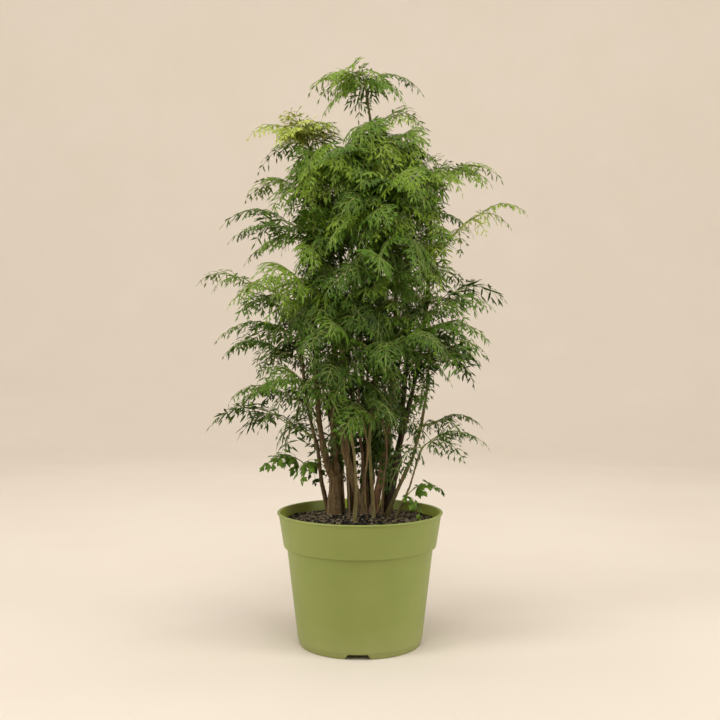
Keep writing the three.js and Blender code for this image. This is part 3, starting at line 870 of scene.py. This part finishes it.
leaflet_forms = [
    leaflet("leaflet_1_plain", 0.20, 0.16, []),
    leaflet("leaflet_2_toothed", 0.21, 0.22, [(0.28, 34, 0.50)]),
    leaflet("leaflet_3_three_lobed", 0.21, 0.18, [(0.22, 36, 0.52), (0.34, -32, 0.48)]),
    leaflet("leaflet_4_broad", 0.50, 0.12, [(0.22, 44, 0.50), (0.30, -44, 0.50)]),
    leaflet("leaflet_5_broad_toothed", 0.56, 0.16, [(0.2, 50, 0.52), (0.28, -48, 0.54), (0.45, 34, 0.4)]),
]
leaflets = shelf("leaflets", leaflet_forms)
for form in leaflet_forms:
    print(form.name, len(form.data.polygons), "faces")

# %% [markdown]
# ## Reading the leaves from the frame
# Each frame spray is a twig with a few plain blades. A blade is a spindle that ends in a point, so its
# tip is a vertex with four neighbours: two far apart, which give the blade's width, and two close
# together, its thickness. From the tip and the middle of those four, and because every blade arches by
# the same rule, its whole midrib can be worked back to where it leaves the twig.

# %% Find the blades of a spray
LEAF_ARCH = 0.2  # how far a blade's middle is lifted, as a share of its length
RING_SHARE = 0.74  # how far along a blade its last ring of vertices is
LEAF_HALF = 0.7 * MM  # half of a blade's thickness
LEAF_SLACK = 0.12 * MM
ROUND = 1.3  # how uneven the four neighbours of a twig's end may be
SHORTEST_BLADE = 20 * MM  # anything shorter is a part of the twig
TWIG_SUNK = 2.5 * MM  # how far a twig's foot goes into its stem


def on_arch(start, end, t):
    """A point on the arched midrib of a blade."""
    middle = (start + end) / 2 + Vector((0, 0, 2 * LEAF_ARCH * (end - start).length))
    return (1 - t) ** 2 * start + 2 * t * (1 - t) * middle + t * t * end


def at_share(start, end, share, steps=32):
    """The point a share of the way along a midrib, by length."""
    points = [on_arch(start, end, k / steps) for k in range(steps + 1)]
    lengths = [(b - a).length for a, b in zip(points, points[1:])]
    left = share * sum(lengths)
    for a, b, length in zip(points, points[1:], lengths):
        if left <= length:
            return a.lerp(b, left / length)
        left -= length
    return points[-1]


def leaf_start(tip, ring_centre):
    """Where a blade starts, from its tip and the centre of its last ring: a first guess and small steps."""
    start = tip + (ring_centre - tip) * 4
    for _ in range(40):
        start = start + (ring_centre - at_share(start, tip, RING_SHARE)) * 3
    return start


joined_stems = bmesh.new()
for name in stems:
    joined_stems.from_mesh(nodes[name].data)
stem_surface = bvhtree.BVHTree.FromBMesh(joined_stems)
joined_stems.free()


def read_spray(name):
    """The twig's foot, on its stem, and for each leaf (start, tip, level direction across it)."""
    made = merged_copy(name)
    leaves, ends = [], []
    for vert in made.verts:
        tip = vert.co.copy()
        ring = [edge.other_vert(vert).co.copy() for edge in vert.link_edges]
        if len(ring) != 4:
            continue
        centre = sum(ring, Vector()) / 4
        ring.sort(key=lambda point: -(point - centre).length)
        _, wide, thick, thin = ((point - centre).length for point in ring)
        flat = abs(thick - LEAF_HALF) < LEAF_SLACK and abs(thin - LEAF_HALF) < LEAF_SLACK
        if flat and wide - thick > LEAF_SLACK:
            start = leaf_start(tip, centre)
            if (tip - start).length > SHORTEST_BLADE:
                leaves.append((start, tip, (ring[0] - ring[1]).normalized()))
        elif (ring[0] - centre).length < ROUND * thin:
            ends.append(tip)
    made.free()
    foot = min(ends, key=lambda end: stem_surface.find_nearest(end)[3])
    on_bark = stem_surface.find_nearest(foot)[0]
    return foot + (on_bark - foot).normalized() * TWIG_SUNK, leaves


found = {name: read_spray(name) for name in sprays}
print("leaves found:", sum(len(leaves) for _, leaves in found.values()))
print("leaves per spray:", [len(found[name][1]) for name in sprays])

# %% [markdown]
# ## The leaf tree
# The tree takes twigs, midribs and pinnae as bare edges. It sweeps them all into stalks. Then it walks
# along each pinna, sets a leaflet to each side at every step and one at the tip, and picks its form from
# a stored number. Leaflets close up towards the tip, and each is turned and sized a little at random.


# %% Build the leaf tree
LEAF_FLOATS = ("Spacing", "Bare stalk", "Base size", "Tip size", "Base angle", "Tip angle", "Ruffle", "Droop")
STORED = {"reach": "FLOAT", "share": "FLOAT", "hand": "FLOAT", "form": "FLOAT"}
STORED.update({"ahead": "FLOAT_VECTOR", "across": "FLOAT_VECTOR"})
# What is left to chance for each leaflet, with its range. A gone leaflet is one whose number is under GONE.
CHANCES = {"turn": (-0.14, 0.14), "lift": (-0.4, 0.2), "roll": (-0.55, 0.55)}
CHANCES.update({"size": (0.75, 1.2), "form": (0.0, 1.999), "gone": (0.0, 1.0)})
GONE = 0.06
STALK_SIDES = 4


def leaf_tree():
    sockets = {"Leaflets": "Collection", "Seed": "Int", "Leaf": "Material", "Stalk": "Material"}
    sockets.update(dict.fromkeys(LEAF_FLOATS, "Float"))
    tree, given = new_tree("Feathery leaves", sockets)
    stored, chance = {}, {}
    for key, kind in STORED.items():
        stored[key] = add(tree, "GeometryNodeInputNamedAttribute", {"Name": key}, data_type=kind)
    for offset, (key, (low, high)) in enumerate(CHANCES.items(), 1):
        seed = add(tree, "ShaderNodeMath", {0: given["Seed"], 1: offset}, operation="ADD")
        inputs = {"Min": low, "Max": high, "Seed": seed}
        chance[key] = add(tree, "FunctionNodeRandomValue", inputs, data_type="FLOAT")

    # Every edge becomes a tapered stalk.
    curve = add(tree, "GeometryNodeMeshToCurve", {"Mesh": given["Geometry"]})
    body = swept(tree, curve, STALK_SIDES)
    stalk = add(tree, "GeometryNodeSetMaterial", {"Geometry": body, "Material": given["Stalk"]})

    # Pinnae are the threads with a leaflet length. They are cut into even steps past their bare stalk.
    is_pinna = add(tree, "ShaderNodeMath", {0: stored["reach"], 1: 0.0}, operation="GREATER_THAN")
    inputs = {"Geometry": curve, "Selection": is_pinna}
    pinnae = add(tree, "GeometryNodeSeparateGeometry", inputs, domain="CURVE")
    inputs = {"Curve": pinnae, "Start": given["Bare stalk"], "End": 1.0}
    trimmed = add(tree, "GeometryNodeTrimCurve", inputs, mode="FACTOR")
    inputs = {"Curve": trimmed, "Length": given["Spacing"]}
    steps = add(tree, "GeometryNodeResampleCurve", inputs, mode="LENGTH")
    for key, kind in (("share", "GeometryNodeSplineParameter"), ("ahead", "GeometryNodeInputTangent")):
        inputs = {"Geometry": steps, "Name": key, "Value": add(tree, kind)}
        steps = add(tree, "GeometryNodeStoreNamedAttribute", inputs, data_type=STORED[key], domain="POINT")
    spots = add(tree, "GeometryNodeCurveToPoints", {"Curve": steps}, mode="EVALUATED")

    # Each spot is doubled, one leaflet to a side, and the tip keeps one. A few others are gone.
    pair = add(tree, "GeometryNodeDuplicateElements", {"Geometry": spots, "Amount": 2}, domain="POINT")
    inputs = {0: pair.outputs["Duplicate Index"], 1: 2.0, 2: -1.0}
    hand = add(tree, "ShaderNodeMath", inputs, operation="MULTIPLY_ADD")
    inputs = {"Geometry": pair, "Name": "hand", "Value": hand}
    handed = add(tree, "GeometryNodeStoreNamedAttribute", inputs, data_type="FLOAT", domain="POINT")
    at_tip = add(tree, "ShaderNodeMath", {0: stored["share"], 1: 0.999}, operation="GREATER_THAN")
    not_tip = add(tree, "ShaderNodeMath", {0: 1.0, 1: at_tip}, operation="SUBTRACT")
    left = add(tree, "ShaderNodeMath", {0: stored["hand"], 1: 0.0}, operation="LESS_THAN")
    spare = add(tree, "ShaderNodeMath", {0: at_tip, 1: left}, operation="MULTIPLY")
    lost = add(tree, "ShaderNodeMath", {0: chance["gone"], 1: GONE}, operation="LESS_THAN")
    missing = add(tree, "ShaderNodeMath", {0: lost, 1: not_tip}, operation="MULTIPLY")
    either = add(tree, "ShaderNodeMath", {0: spare, 1: missing}, operation="MAXIMUM")
    inputs = {"Geometry": handed, "Selection": either}
    kept = add(tree, "GeometryNodeDeleteGeometry", inputs, domain="POINT")

    # A leaflet points ahead and to its side, and hangs or rises a little.
    inputs = {"Value": stored["share"], "To Min": given["Base angle"], "To Max": given["Tip angle"]}
    opened = add(tree, "ShaderNodeMapRange", inputs)
    turned = add(tree, "ShaderNodeMath", {0: opened, 1: chance["turn"]}, operation="ADD")
    angle = add(tree, "ShaderNodeMath", {0: turned, 1: not_tip}, operation="MULTIPLY")
    sine = add(tree, "ShaderNodeMath", {0: angle}, operation="SINE")
    cosine = add(tree, "ShaderNodeMath", {0: angle}, operation="COSINE")
    sided = add(tree, "ShaderNodeMath", {0: stored["hand"], 1: sine}, operation="MULTIPLY")
    inputs = {0: stored["ahead"], 1: stored["across"]}
    above = add(tree, "ShaderNodeVectorMath", inputs, operation="CROSS_PRODUCT")
    lifted = add(tree, "ShaderNodeMath", {0: chance["lift"], 1: given["Ruffle"]}, operation="MULTIPLY")
    hung = add(tree, "ShaderNodeMath", {0: given["Droop"], 1: -1.0}, operation="MULTIPLY")
    heading = add(tree, "ShaderNodeCombineXYZ", {"Z": hung})
    for way, size in ((stored["across"], sided), (stored["ahead"], cosine), (above, lifted)):
        share = add(tree, "ShaderNodeVectorMath", {0: way, "Scale": size}, operation="SCALE")
        heading = add(tree, "ShaderNodeVectorMath", {0: heading, 1: share}, operation="ADD")

    # Its face looks up, tipped a little to one side.
    rolled = add(tree, "ShaderNodeMath", {0: chance["roll"], 1: given["Ruffle"]}, operation="MULTIPLY")
    inputs = {0: stored["across"], "Scale": rolled}
    tipped = add(tree, "ShaderNodeVectorMath", inputs, operation="SCALE")
    facing = add(tree, "ShaderNodeVectorMath", {0: above, 1: tipped}, operation="ADD")
    along = add(tree, "FunctionNodeAlignRotationToVector", {"Vector": heading}, axis="X")
    inputs = {"Rotation": along, "Vector": facing}
    rotation = add(tree, "FunctionNodeAlignRotationToVector", inputs, axis="Z", pivot_axis="X")

    # Its size goes by its pinna's length and its place there, and its form by the stored number.
    inputs = {"Value": stored["share"], "To Min": given["Base size"], "To Max": given["Tip size"]}
    scale = add(tree, "ShaderNodeMapRange", inputs)
    for factor in (stored["reach"], chance["size"]):
        scale = add(tree, "ShaderNodeMath", {0: scale, 1: factor}, operation="MULTIPLY")
    either_form = add(tree, "ShaderNodeMath", {0: stored["form"], 1: chance["form"]}, operation="ADD")
    inputs = {"Collection": given["Leaflets"], "Separate Children": True, "Reset Children": True}
    inputs = {
        "Points": kept,
        "Instance": add(tree, "GeometryNodeCollectionInfo", inputs),
        "Pick Instance": True,
        "Instance Index": add(tree, "ShaderNodeMath", {0: either_form}, operation="FLOOR"),
        "Rotation": rotation,
        "Scale": scale,
    }
    placed = add(tree, "GeometryNodeInstanceOnPoints", inputs)
    real = add(tree, "GeometryNodeRealizeInstances", {"Geometry": placed})
    green = add(tree, "GeometryNodeSetMaterial", {"Geometry": real, "Material": given["Leaf"]})
    both = add(tree, "GeometryNodeJoinGeometry", {0: stalk})
    tree.links.new(green.outputs[0], both.inputs[0])
    add(tree, "NodeGroupOutput", {0: both})
    return tree


leaves_tree = leaf_tree()

# %% [markdown]
# ## Leaf and stalk finishes
# A leaf is lit twice: light glances off its waxy top and also glows through it from behind. So the shader
# is a satin surface mixed with a translucent one. A stored tone runs from old, deep green leaves to
# young, yellow ones, and it also carries painted light and shade from where the leaf sits in the crown.
# A fine noise mottles each blade.

# %% Leaf material
# A thin, waxy leaf: satin on top, and glowing where light comes through. Its mottles are 6 mm across.
LEAF_MOTTLES = 160.0
LEAF_GREENS = [(0.0, "#344c0e"), (0.3, "#5c7f1c"), (0.6, "#8aa62c"), (0.85, "#bac454"), (1.0, "#d2d478")]
leaf, tree = new_material("aralia_leaf")
place = add(tree, "ShaderNodeTexCoord").outputs["Object"]
tone = add(tree, "ShaderNodeAttribute", attribute_name="tone").outputs["Fac"]
inputs = {"Vector": place, "Scale": LEAF_MOTTLES, "Detail": 3.0, "Roughness": 0.55}
mottle = add(tree, "ShaderNodeTexNoise", inputs)
inputs = {"Value": mottle, "From Min": 0.3, "From Max": 0.7, "To Min": -0.14, "To Max": 0.14}
shift = add(tree, "ShaderNodeMapRange", inputs)
blend = add(tree, "ShaderNodeMath", {0: tone, 1: shift}, operation="ADD", use_clamp=True)
green = add(tree, "ShaderNodeValToRGB", {"Fac": blend}, stops=LEAF_GREENS)
surface = {"Base Color": green, "Roughness": 0.5, "Specular IOR Level": 0.32}
satin = add(tree, "ShaderNodeBsdfPrincipled", surface)
glow = add(tree, "ShaderNodeBsdfTranslucent", {"Color": green})
body = add(tree, "ShaderNodeMixShader", {0: 0.3, 1: satin, 2: glow})
add(tree, "ShaderNodeOutputMaterial", {"Surface": body})

# %% Stalk material
# Green skin over young wood: dull, and flecked by pores of 3 mm.
STALK_FLECKS = 300.0
stalk_skin, tree = new_material("green_stalk")
place = add(tree, "ShaderNodeTexCoord").outputs["Object"]
inputs = {"Vector": place, "Scale": STALK_FLECKS, "Detail": 4.0, "Roughness": 0.55}
flecks = add(tree, "ShaderNodeTexNoise", inputs)
colour = add(tree, "ShaderNodeValToRGB", {"Fac": flecks}, stops=[(0.35, "#65702f"), (0.65, "#8a9648")])
shader = add(tree, "ShaderNodeBsdfPrincipled", {"Base Color": colour, "Roughness": 0.6})
add(tree, "ShaderNodeOutputMaterial", {"Surface": shader})

# %% [markdown]
# ## Growing the sprays
# Every spray gets its twig, its midribs, its pinnae and its leaflets as one piece, because a shoot grows
# as one. Its frame blades are its main leaves. A real shoot also carries smaller leaves between those,
# which fill the crown, so some are added along the same twig. Older leaves low on the plant are broader,
# and those at the ends of long canes are young, fine and yellow-green. A leaf's tone is partly its age and
# partly painted light and shade: it is darker low down and inside the crown, and brighter high up and
# towards the outside. The dark leaves low at the back, behind the stems, are painted shade.

# %% Growth values
LEAF_PETIOLE = 0.22  # the bare share of a midrib
PINNA_GAP = 12.5 * MM  # between pairs along a midrib
LONGEST_PINNA = 0.40  # of its leaf's length
OUTER_PINNA = 0.31  # and on the leaves that stand out of the crown
RIPE_TONE = 0.54  # the brightest that a full-grown leaf gets
LEAFLET_GAP = 6.6 * MM
SHORT_LEAFLET = 7.5 * MM
TWIG_LEAVES = 3  # small leaves between the main ones of a spray
TWIG_SPREAD, TWIG_CLIMB = 150, (-46, 34)  # degrees that they turn to the sides, down and up
TOP_ROOM = 30 * MM  # between their tips and the top of the plant
TOP_SPRAY, TOP_LEAVES = "leaf_spray_20", 8  # the umbrella at the top, which has more of them
CROWN_LEAVES = 430  # short-stalked leaves that fill the crown, straight off the stems
SHADE_LEAVES = 90  # dark ones low at the back, behind the stems, whose dark tone is painted shade
TUFT_SPRAY, TUFT_LEAVES = "leaf_spray_14", 20  # young ones, at the top on the left
TUFT_LEFT, TUFT_FOOT = -108 * MM, 705 * MM  # where it ends on the left, and where it starts
SHORT_LEAF, LONG_LEAF = 34 * MM, 112 * MM
LEAF_DROP = (-14 * MM, 46 * MM)  # how much higher than its tip a filling leaf starts
CROWN_FOOT = 0.33
LOW_LEAF_TOP, LOW_BROAD_SHARE = 0.38, 0.4  # below this height, this share of the filling leaves is broad
FINE_FORMS, BROAD_FORM = (0.0, 1.0), 3.0  # the first of the two leaflet forms that a leaf mixes
TUFT_CLIMB, TUFT_LENGTH = (6, 46), (40, 68)  # in degrees, and in millimetres
YOUNG = {"leaf_spray_14": 0.42, "leaf_spray_38": 0.34, "leaf_spray_06": 0.2, "leaf_spray_19": 0.1}
BROAD = {"leaf_spray_02", "leaf_spray_46"}
BROAD_GAP = 17 * MM
COARSE = {"leaf_spray_01", "leaf_spray_12", "leaf_spray_36", "leaf_spray_37", "leaf_spray_44"}
COARSE_GAP, COARSE_PINNA_GAP, COARSE_LEAFLET = 9.5 * MM, 14 * MM, 12 * MM  # larger, and further apart
UP = Vector((0, 0, 1))
plant_top, soil_top = cad_box[1][2], soil_high.z

# The crown's shape: height, middle from left to right, and radius, in millimetres.
CROWN = [
    (300, 0, 52),
    (345, 14, 84),
    (400, 8, 100),
    (453, 8, 106),
    (521, 8, 114),
    (589, 22, 112),
    (657, 6, 112),
    (698, 4, 112),
    (715, 4, 84),
]
crown_heights, crown_middles, crown_radii = (np.array(column) * MM for column in zip(*CROWN))


def crown_at(z):
    """The crown's middle, from left to right, and its radius at a height."""
    return tuple(float(np.interp(z, crown_heights, column)) for column in (crown_middles, crown_radii))


def outside_crown(place):
    middle, radius = crown_at(place.z)
    return math.hypot(place.x - middle, place.y) > radius


class Growth:
    """Bare threads and the values that the leaf tree reads from them."""

    def __init__(self):
        self.paths, self.radii = [], []
        self.values = {"across": [], "reach": [], "tone": [], "form": []}

    def thread(self, path, start_radius, end_radius, across=UP, reach=0.0, tone=0.3, form=0.0):
        thinning = (end_radius - start_radius) / (len(path) - 1)
        self.paths.append(path)
        self.radii.append([start_radius + thinning * k for k in range(len(path))])
        for key, value in zip(self.values, (across, reach, tone, form)):
            self.values[key] += [value] * len(path)


# %% One compound leaf
MIDRIB_POINTS, PINNA_POINTS = 10, 5
PINNA_RISE, PINNA_DROOP = 0.12, 0.15  # how far a pinna is bowed up and how far its end hangs, by its length
LEAF_ROLL, PINNA_TWIST = 44, 24  # degrees, the most that a leaf and a pinna turn about themselves


def pinna_length(size, share, outside, dice):
    """A pinna's length: full near the base of the leaf, and shorter towards its tip."""
    fullness = 0.55 + 0.45 * math.sin(math.pi * (0.25 + 1.6 * share)) if share < 0.4 else 1.0
    longest = OUTER_PINNA if outside else LONGEST_PINNA
    return size * longest * fullness * (1 - 0.62 * share) * dice.uniform(0.85, 1.12)


def leaf_on(growth, start, tip, side, tone, form, dice, gap=PINNA_GAP, reach_share=0.40, least=SHORT_LEAFLET):
    """One compound leaf: its midrib and a pinna to each side at every step, shorter towards the tip."""
    size = (tip - start).length
    roll = math.radians(dice.uniform(-LEAF_ROLL, LEAF_ROLL))
    side = Matrix.Rotation(roll, 3, (tip - start).normalized()) @ side
    midrib = [on_arch(start, tip, k / (MIDRIB_POINTS - 1)) for k in range(MIDRIB_POINTS)]
    growth.thread(midrib, 0.8 * MM, 0.3 * MM, tone=tone)
    pairs = max(2, round(size * (1 - LEAF_PETIOLE) / gap))
    for k in range(pairs + 1):
        share = k / pairs
        t = LEAF_PETIOLE + (0.98 - LEAF_PETIOLE) * share
        root = on_arch(start, tip, t)
        ahead = (on_arch(start, tip, min(1.0, t + 0.02)) - on_arch(start, tip, t - 0.02)).normalized()
        above = side.cross(ahead).normalized()
        if above.z < 0:
            above = -above
        for hand in (1, -1) if k < pairs else (1,):
            angle = 0.0 if k == pairs else math.radians(64 - 26 * share + dice.uniform(-8, 8))
            out = ahead * math.cos(angle) + side * (hand * math.sin(angle))
            length = pinna_length(size, share, outside_crown(tip), dice)
            end = root + out * length + above * (length * dice.uniform(-0.16, 0.04))
            end -= UP * (PINNA_DROOP * length)
            path = []
            for q in range(PINNA_POINTS):
                along = q / (PINNA_POINTS - 1)
                bow = PINNA_RISE * length * (1 - (2 * along - 1) ** 2)
                path.append(root.lerp(end, along) + UP * bow)
            twist = math.radians(dice.uniform(-PINNA_TWIST, PINNA_TWIST))
            across = above.cross(out).normalized()
            across = (across * math.cos(twist) + above * math.sin(twist)).normalized()
            growth.thread(path, 0.42 * MM, 0.22 * MM, across, least + reach_share * length, tone, form)


# %% The leaves of one spray
bark_points = [v.co for piece in stem_pieces.values() for v in list(piece.data.vertices)[::12]]


def twig_of(foot, leaves):
    """The twig's points, from its foot through the place where each leaf leaves it."""
    return [foot] + [start for start, _, _ in sorted(leaves, key=lambda item: (item[0] - foot).length)]


def along_twig(twig, share):
    place = share * (len(twig) - 1)
    return twig[int(place)].lerp(twig[int(place) + 1], place % 1)


def free_leaf(start, azimuth, longest, dice):
    """The tip and side of a small leaf that stays inside the crown and under its top."""
    turn = azimuth + math.radians(dice.uniform(-TWIG_SPREAD, TWIG_SPREAD))
    climb = math.radians(dice.uniform(*TWIG_CLIMB))
    length = longest * dice.uniform(0.62, 1.0)
    reach = Vector((math.cos(turn) * math.cos(climb), math.sin(turn) * math.cos(climb), math.sin(climb)))
    tip = start + reach * length
    while outside_crown(tip) and length > 0.5 * longest:
        length *= 0.9
        tip = start + reach * length
    tip.z = max(min(tip.z, plant_top - TOP_ROOM), CROWN_FOOT)
    return tip, Vector((-math.sin(turn), math.cos(turn), 0))


twigs = {name: twig_of(*found[name]) for name in sprays}
foot_tree = kdtree.KDTree(len(sprays))
for index, name in enumerate(sprays):
    foot_tree.insert(twigs[name][0], index)
foot_tree.balance()
bark_tree = kdtree.KDTree(len(bark_points))
for index, point in enumerate(bark_points):
    bark_tree.insert(point, index)
bark_tree.balance()
fill_dice = random.Random(77)
fillers = {name: [] for name in sprays}


def fill(count, lowest, highest, nearest, in_painted_shade):
    """Shares out leaves that start on the closest bark and end at places spread evenly through the crown."""
    while count:
        z = fill_dice.uniform(lowest, highest)
        middle, radius = crown_at(z)
        radius *= math.sqrt(fill_dice.uniform(0.08, 1.0))
        turn = fill_dice.uniform(0, math.pi if in_painted_shade else 2 * math.pi)
        tip = Vector((middle + radius * math.cos(turn), nearest + radius * math.sin(turn), z))
        start = bark_tree.find(tip + UP * fill_dice.uniform(*LEAF_DROP))[0]
        if SHORT_LEAF < (tip - start).length < LONG_LEAF:
            fillers[sprays[foot_tree.find(start)[1]]].append((start, tip, in_painted_shade))
            count -= 1


fill(CROWN_LEAVES, crown_heights[0], crown_heights[-1], 0.0, False)
fill(SHADE_LEAVES, soil_top + 30 * MM, CROWN_FOOT, 12 * MM, True)
print("crown leaves per spray:", [len(places) for places in fillers.values()])


# %% Grow one spray
def youth_and_light_tone(tip, dice):
    """How young and how lit a leaf looks: brighter the higher and the further out it is, partly as young
    growth and partly as painted light, with painted shade low and inside the crown, and a little by chance.
    """
    rise = (tip.z - soil_top) / (plant_top - soil_top)
    # Height and distance from the middle brighten a leaf: partly young growth, partly painted light high and
    # outside, with painted shade low and inside.
    outer = min(1.0, math.hypot(tip.x, tip.y) / 0.17)
    lucky = dice.choice((-0.16, -0.08, -0.02, 0.05, 0.16)) * (0.5 + rise)
    return min(RIPE_TONE, -0.05 + 0.5 * rise + 0.12 * outer + lucky)


def young_at(name, tip):
    """How much younger than that the leaves of a young spray are."""
    return 0.0 if name == TUFT_SPRAY and tip.z < TUFT_FOOT else YOUNG.get(name, 0.0)


def main_leaves(growth, name, dice):
    """The leaves that the frame has."""
    for start, tip, side in found[name][1]:
        if name in BROAD:
            leaf_on(growth, start, tip, side, 0.3, BROAD_FORM, dice, BROAD_GAP, 0.75)
        elif name in COARSE:
            tone = youth_and_light_tone(tip, dice) - 0.1
            leaf_on(growth, start, tip, side, tone, 0.0, dice, COARSE_PINNA_GAP, 0.5, COARSE_LEAFLET)
        else:
            tone = youth_and_light_tone(tip, dice) + young_at(name, tip)
            leaf_on(growth, start, tip, side, tone, dice.choice(FINE_FORMS), dice)


def twig_leaves(growth, name, dice):
    """Small leaves between the main ones, where the crown is."""
    twig, lines = twigs[name], [tip - start for start, tip, _ in found[name][1]]
    heading = sum(lines, Vector())
    azimuth = math.atan2(heading.y, heading.x)
    longest = 0.85 * sum(line.length for line in lines) / len(lines)
    for _ in range(TOP_LEAVES if name == TOP_SPRAY else TWIG_LEAVES):
        start = along_twig(twig, dice.uniform(0.15, 0.98))
        tip, side = free_leaf(start, azimuth, longest, dice)
        if outside_crown(tip) or (tip.z > crown_heights[-1] and name != TOP_SPRAY):
            continue
        tone = youth_and_light_tone(tip, dice) + young_at(name, tip)
        leaf_on(growth, start, tip, side, tone, dice.choice(FINE_FORMS), dice)


def filling_leaves(growth, name, dice):
    """This spray's share of the leaves that fill the crown."""
    for start, tip, in_painted_shade in fillers[name]:
        low = start.z < LOW_LEAF_TOP and dice.random() < LOW_BROAD_SHARE
        form = BROAD_FORM if low else dice.choice(FINE_FORMS)
        # Leaves behind the stems get a dark tone, which is painted shade; the others take a tone of youth and
        # painted light.
        tone = dice.uniform(0.0, 0.12) if in_painted_shade else youth_and_light_tone(tip, dice) + 0.4 * young_at(name, tip)
        leaf_on(growth, start, tip, UP.cross(tip - start).normalized(), tone, form, dice)


def tuft_leaves(growth, name, dice):
    """Young leaves that stand up and forwards from the twig."""
    for _ in range(TUFT_LEAVES):
        start = along_twig(twigs[name], dice.uniform(0.2, 1.0))
        turn, climb = dice.uniform(0.0, 3.4), math.radians(dice.uniform(*TUFT_CLIMB))
        level = math.cos(climb)
        out = Vector((math.cos(turn) * level, -math.sin(turn) * level, math.sin(climb)))
        tip = start + out * dice.uniform(*TUFT_LENGTH) * MM
        tip.x = max(tip.x, TUFT_LEFT)
        tone = youth_and_light_tone(tip, dice) + YOUNG[name]
        leaf_on(growth, start, tip, UP.cross(out).normalized(), tone, 1.0, dice)


def grow_spray(name, seed):
    dice = random.Random(seed)
    growth = Growth()
    growth.thread(twigs[name], 1.8 * MM, 1.0 * MM)
    main_leaves(growth, name, dice)
    if name not in BROAD:
        twig_leaves(growth, name, dice)
    filling_leaves(growth, name, dice)
    if name == TUFT_SPRAY:
        tuft_leaves(growth, name, dice)
    return threads(name + "_growth", growth.paths, growth.radii, **growth.values)


# %% Grow every spray
DROOP, FIRST_SEED = 0.12, 100
total = 0
for index, name in enumerate(sprays):
    piece = grow_spray(name, index)
    spacing = BROAD_GAP if name in BROAD else COARSE_GAP if name in COARSE else LEAFLET_GAP
    grow(
        piece,
        leaves_tree,
        Leaflets=leaflets,
        Spacing=spacing,
        Bare_stalk=0.1,
        Base_size=1.0,
        Tip_size=0.8,
        Base_angle=math.radians(44),
        Tip_angle=math.radians(24),
        Ruffle=0.8,
        Droop=-DROOP if name in COARSE else DROOP,
        Seed=FIRST_SEED + index,
        Leaf=leaf,
        Stalk=stalk_skin,
    )
    piece.data.shade_flat()
    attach(piece, "root")
    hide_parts(name)
    total += triangles(piece)
print("the foliage has", total, "triangles")
for form in list(leaflets.objects) + list(crumbs.objects):
    bpy.data.objects.remove(form)

# %% [markdown]
# ## The studio
# A pale floor sweeps up into a wall all round, with no line between them. Two large soft boxes light the
# pot from both sides, a wide one overhead lights the leaves, and weak fills open the shadows in front and
# behind.


# %% Floor and backdrop
BOWL_RADIUS, BOWL_HEIGHT, BOWL_BEND, BOWL_SEGMENTS, BEND_STEPS = 4.6, 6.0, 2.0, 96, 16


def bowl(name):
    """A round floor that curves up into a wall all the way round."""
    rings = []
    for k in range(BEND_STEPS + 1):
        turn = math.radians(90 * k / BEND_STEPS)
        out = BOWL_RADIUS - BOWL_BEND + BOWL_BEND * math.sin(turn)
        rings.append((out, BOWL_BEND - BOWL_BEND * math.cos(turn)))
    rings.append((BOWL_RADIUS, BOWL_HEIGHT))
    points = [(0, 0, 0)]
    for out, z in rings:
        for k in range(BOWL_SEGMENTS):
            turn = 2 * math.pi * k / BOWL_SEGMENTS
            points.append((out * math.cos(turn), out * math.sin(turn), z))
    return object_of(name, mesh_of(name, points, ring_faces(len(rings), BOWL_SEGMENTS)))


backdrop = bowl("studio_bowl")
backdrop.data.shade_smooth()
# Matt paper, with stains of a third of a metre that are only just darker.
PAPER_STAINS = 3.0
paper, tree = new_material("backdrop_paper")
place = add(tree, "ShaderNodeTexCoord").outputs["Object"]
inputs = {"Vector": place, "Scale": PAPER_STAINS, "Detail": 2.0, "Roughness": 0.55}
stains = add(tree, "ShaderNodeTexNoise", inputs)
colour = add(tree, "ShaderNodeValToRGB", {"Fac": stains}, stops=[(0.3, "#d7ccbd"), (0.7, "#d9cfc1")])
surface = {"Base Color": colour, "Roughness": 0.9, "Specular IOR Level": 0.1}
shader = add(tree, "ShaderNodeBsdfPrincipled", surface)
add(tree, "ShaderNodeOutputMaterial", {"Surface": shader})
backdrop.data.materials.append(paper)


# %% Lights
def softbox(name, place, target, size, power):
    light = bpy.data.lights.new(name, "AREA")
    light.shape, light.size, light.size_y = "RECTANGLE", size[0], size[1]
    light.energy = power
    made = object_of(name, light)
    made.location = place
    made.rotation_euler = (Vector(target) - Vector(place)).to_track_quat("-Z", "Y").to_euler()
    made.visible_camera = False


MIDDLE = (0, 0, 0.45)
softbox("left_box", (-1.9, -1.1, 1.1), MIDDLE, (1.0, 1.6), 34)
softbox("right_box", (2.0, -0.9, 0.9), MIDDLE, (1.0, 1.6), 30)
softbox("top_box", (0.0, -0.9, 2.3), MIDDLE, (1.2, 1.0), 27)
softbox("front_fill", (0.2, -3.0, 1.6), MIDDLE, (1.6, 1.2), 4)
softbox("back_fill", (-0.8, 2.4, 2.0), MIDDLE, (1.6, 1.2), 5)
softbox("wall_wash", (0.0, 0.4, 3.4), (0, 4.4, 1.7), (5.0, 0.8), 122)
world = bpy.data.worlds.new("soft_room")
bpy.context.scene.world = world
world.use_nodes = True
world.node_tree.nodes["Background"].inputs["Color"].default_value = linear("#fbf7f0")
world.node_tree.nodes["Background"].inputs["Strength"].default_value = 0.22

# %% Camera
camera = bpy.data.cameras.new("front_camera")
camera.lens, camera.sensor_width = 49.6, 36.0
camera.shift_y = -1 / 60
camera.dof.use_dof = False
viewer = object_of("front_camera", camera)
viewer.location = (0.0, -1.444, 0.427)
viewer.rotation_euler = (math.radians(90), 0, 0)
bpy.context.scene.camera = viewer
# The plain transform keeps the picked colours as they are.
bpy.context.scene.view_settings.view_transform = "Standard"
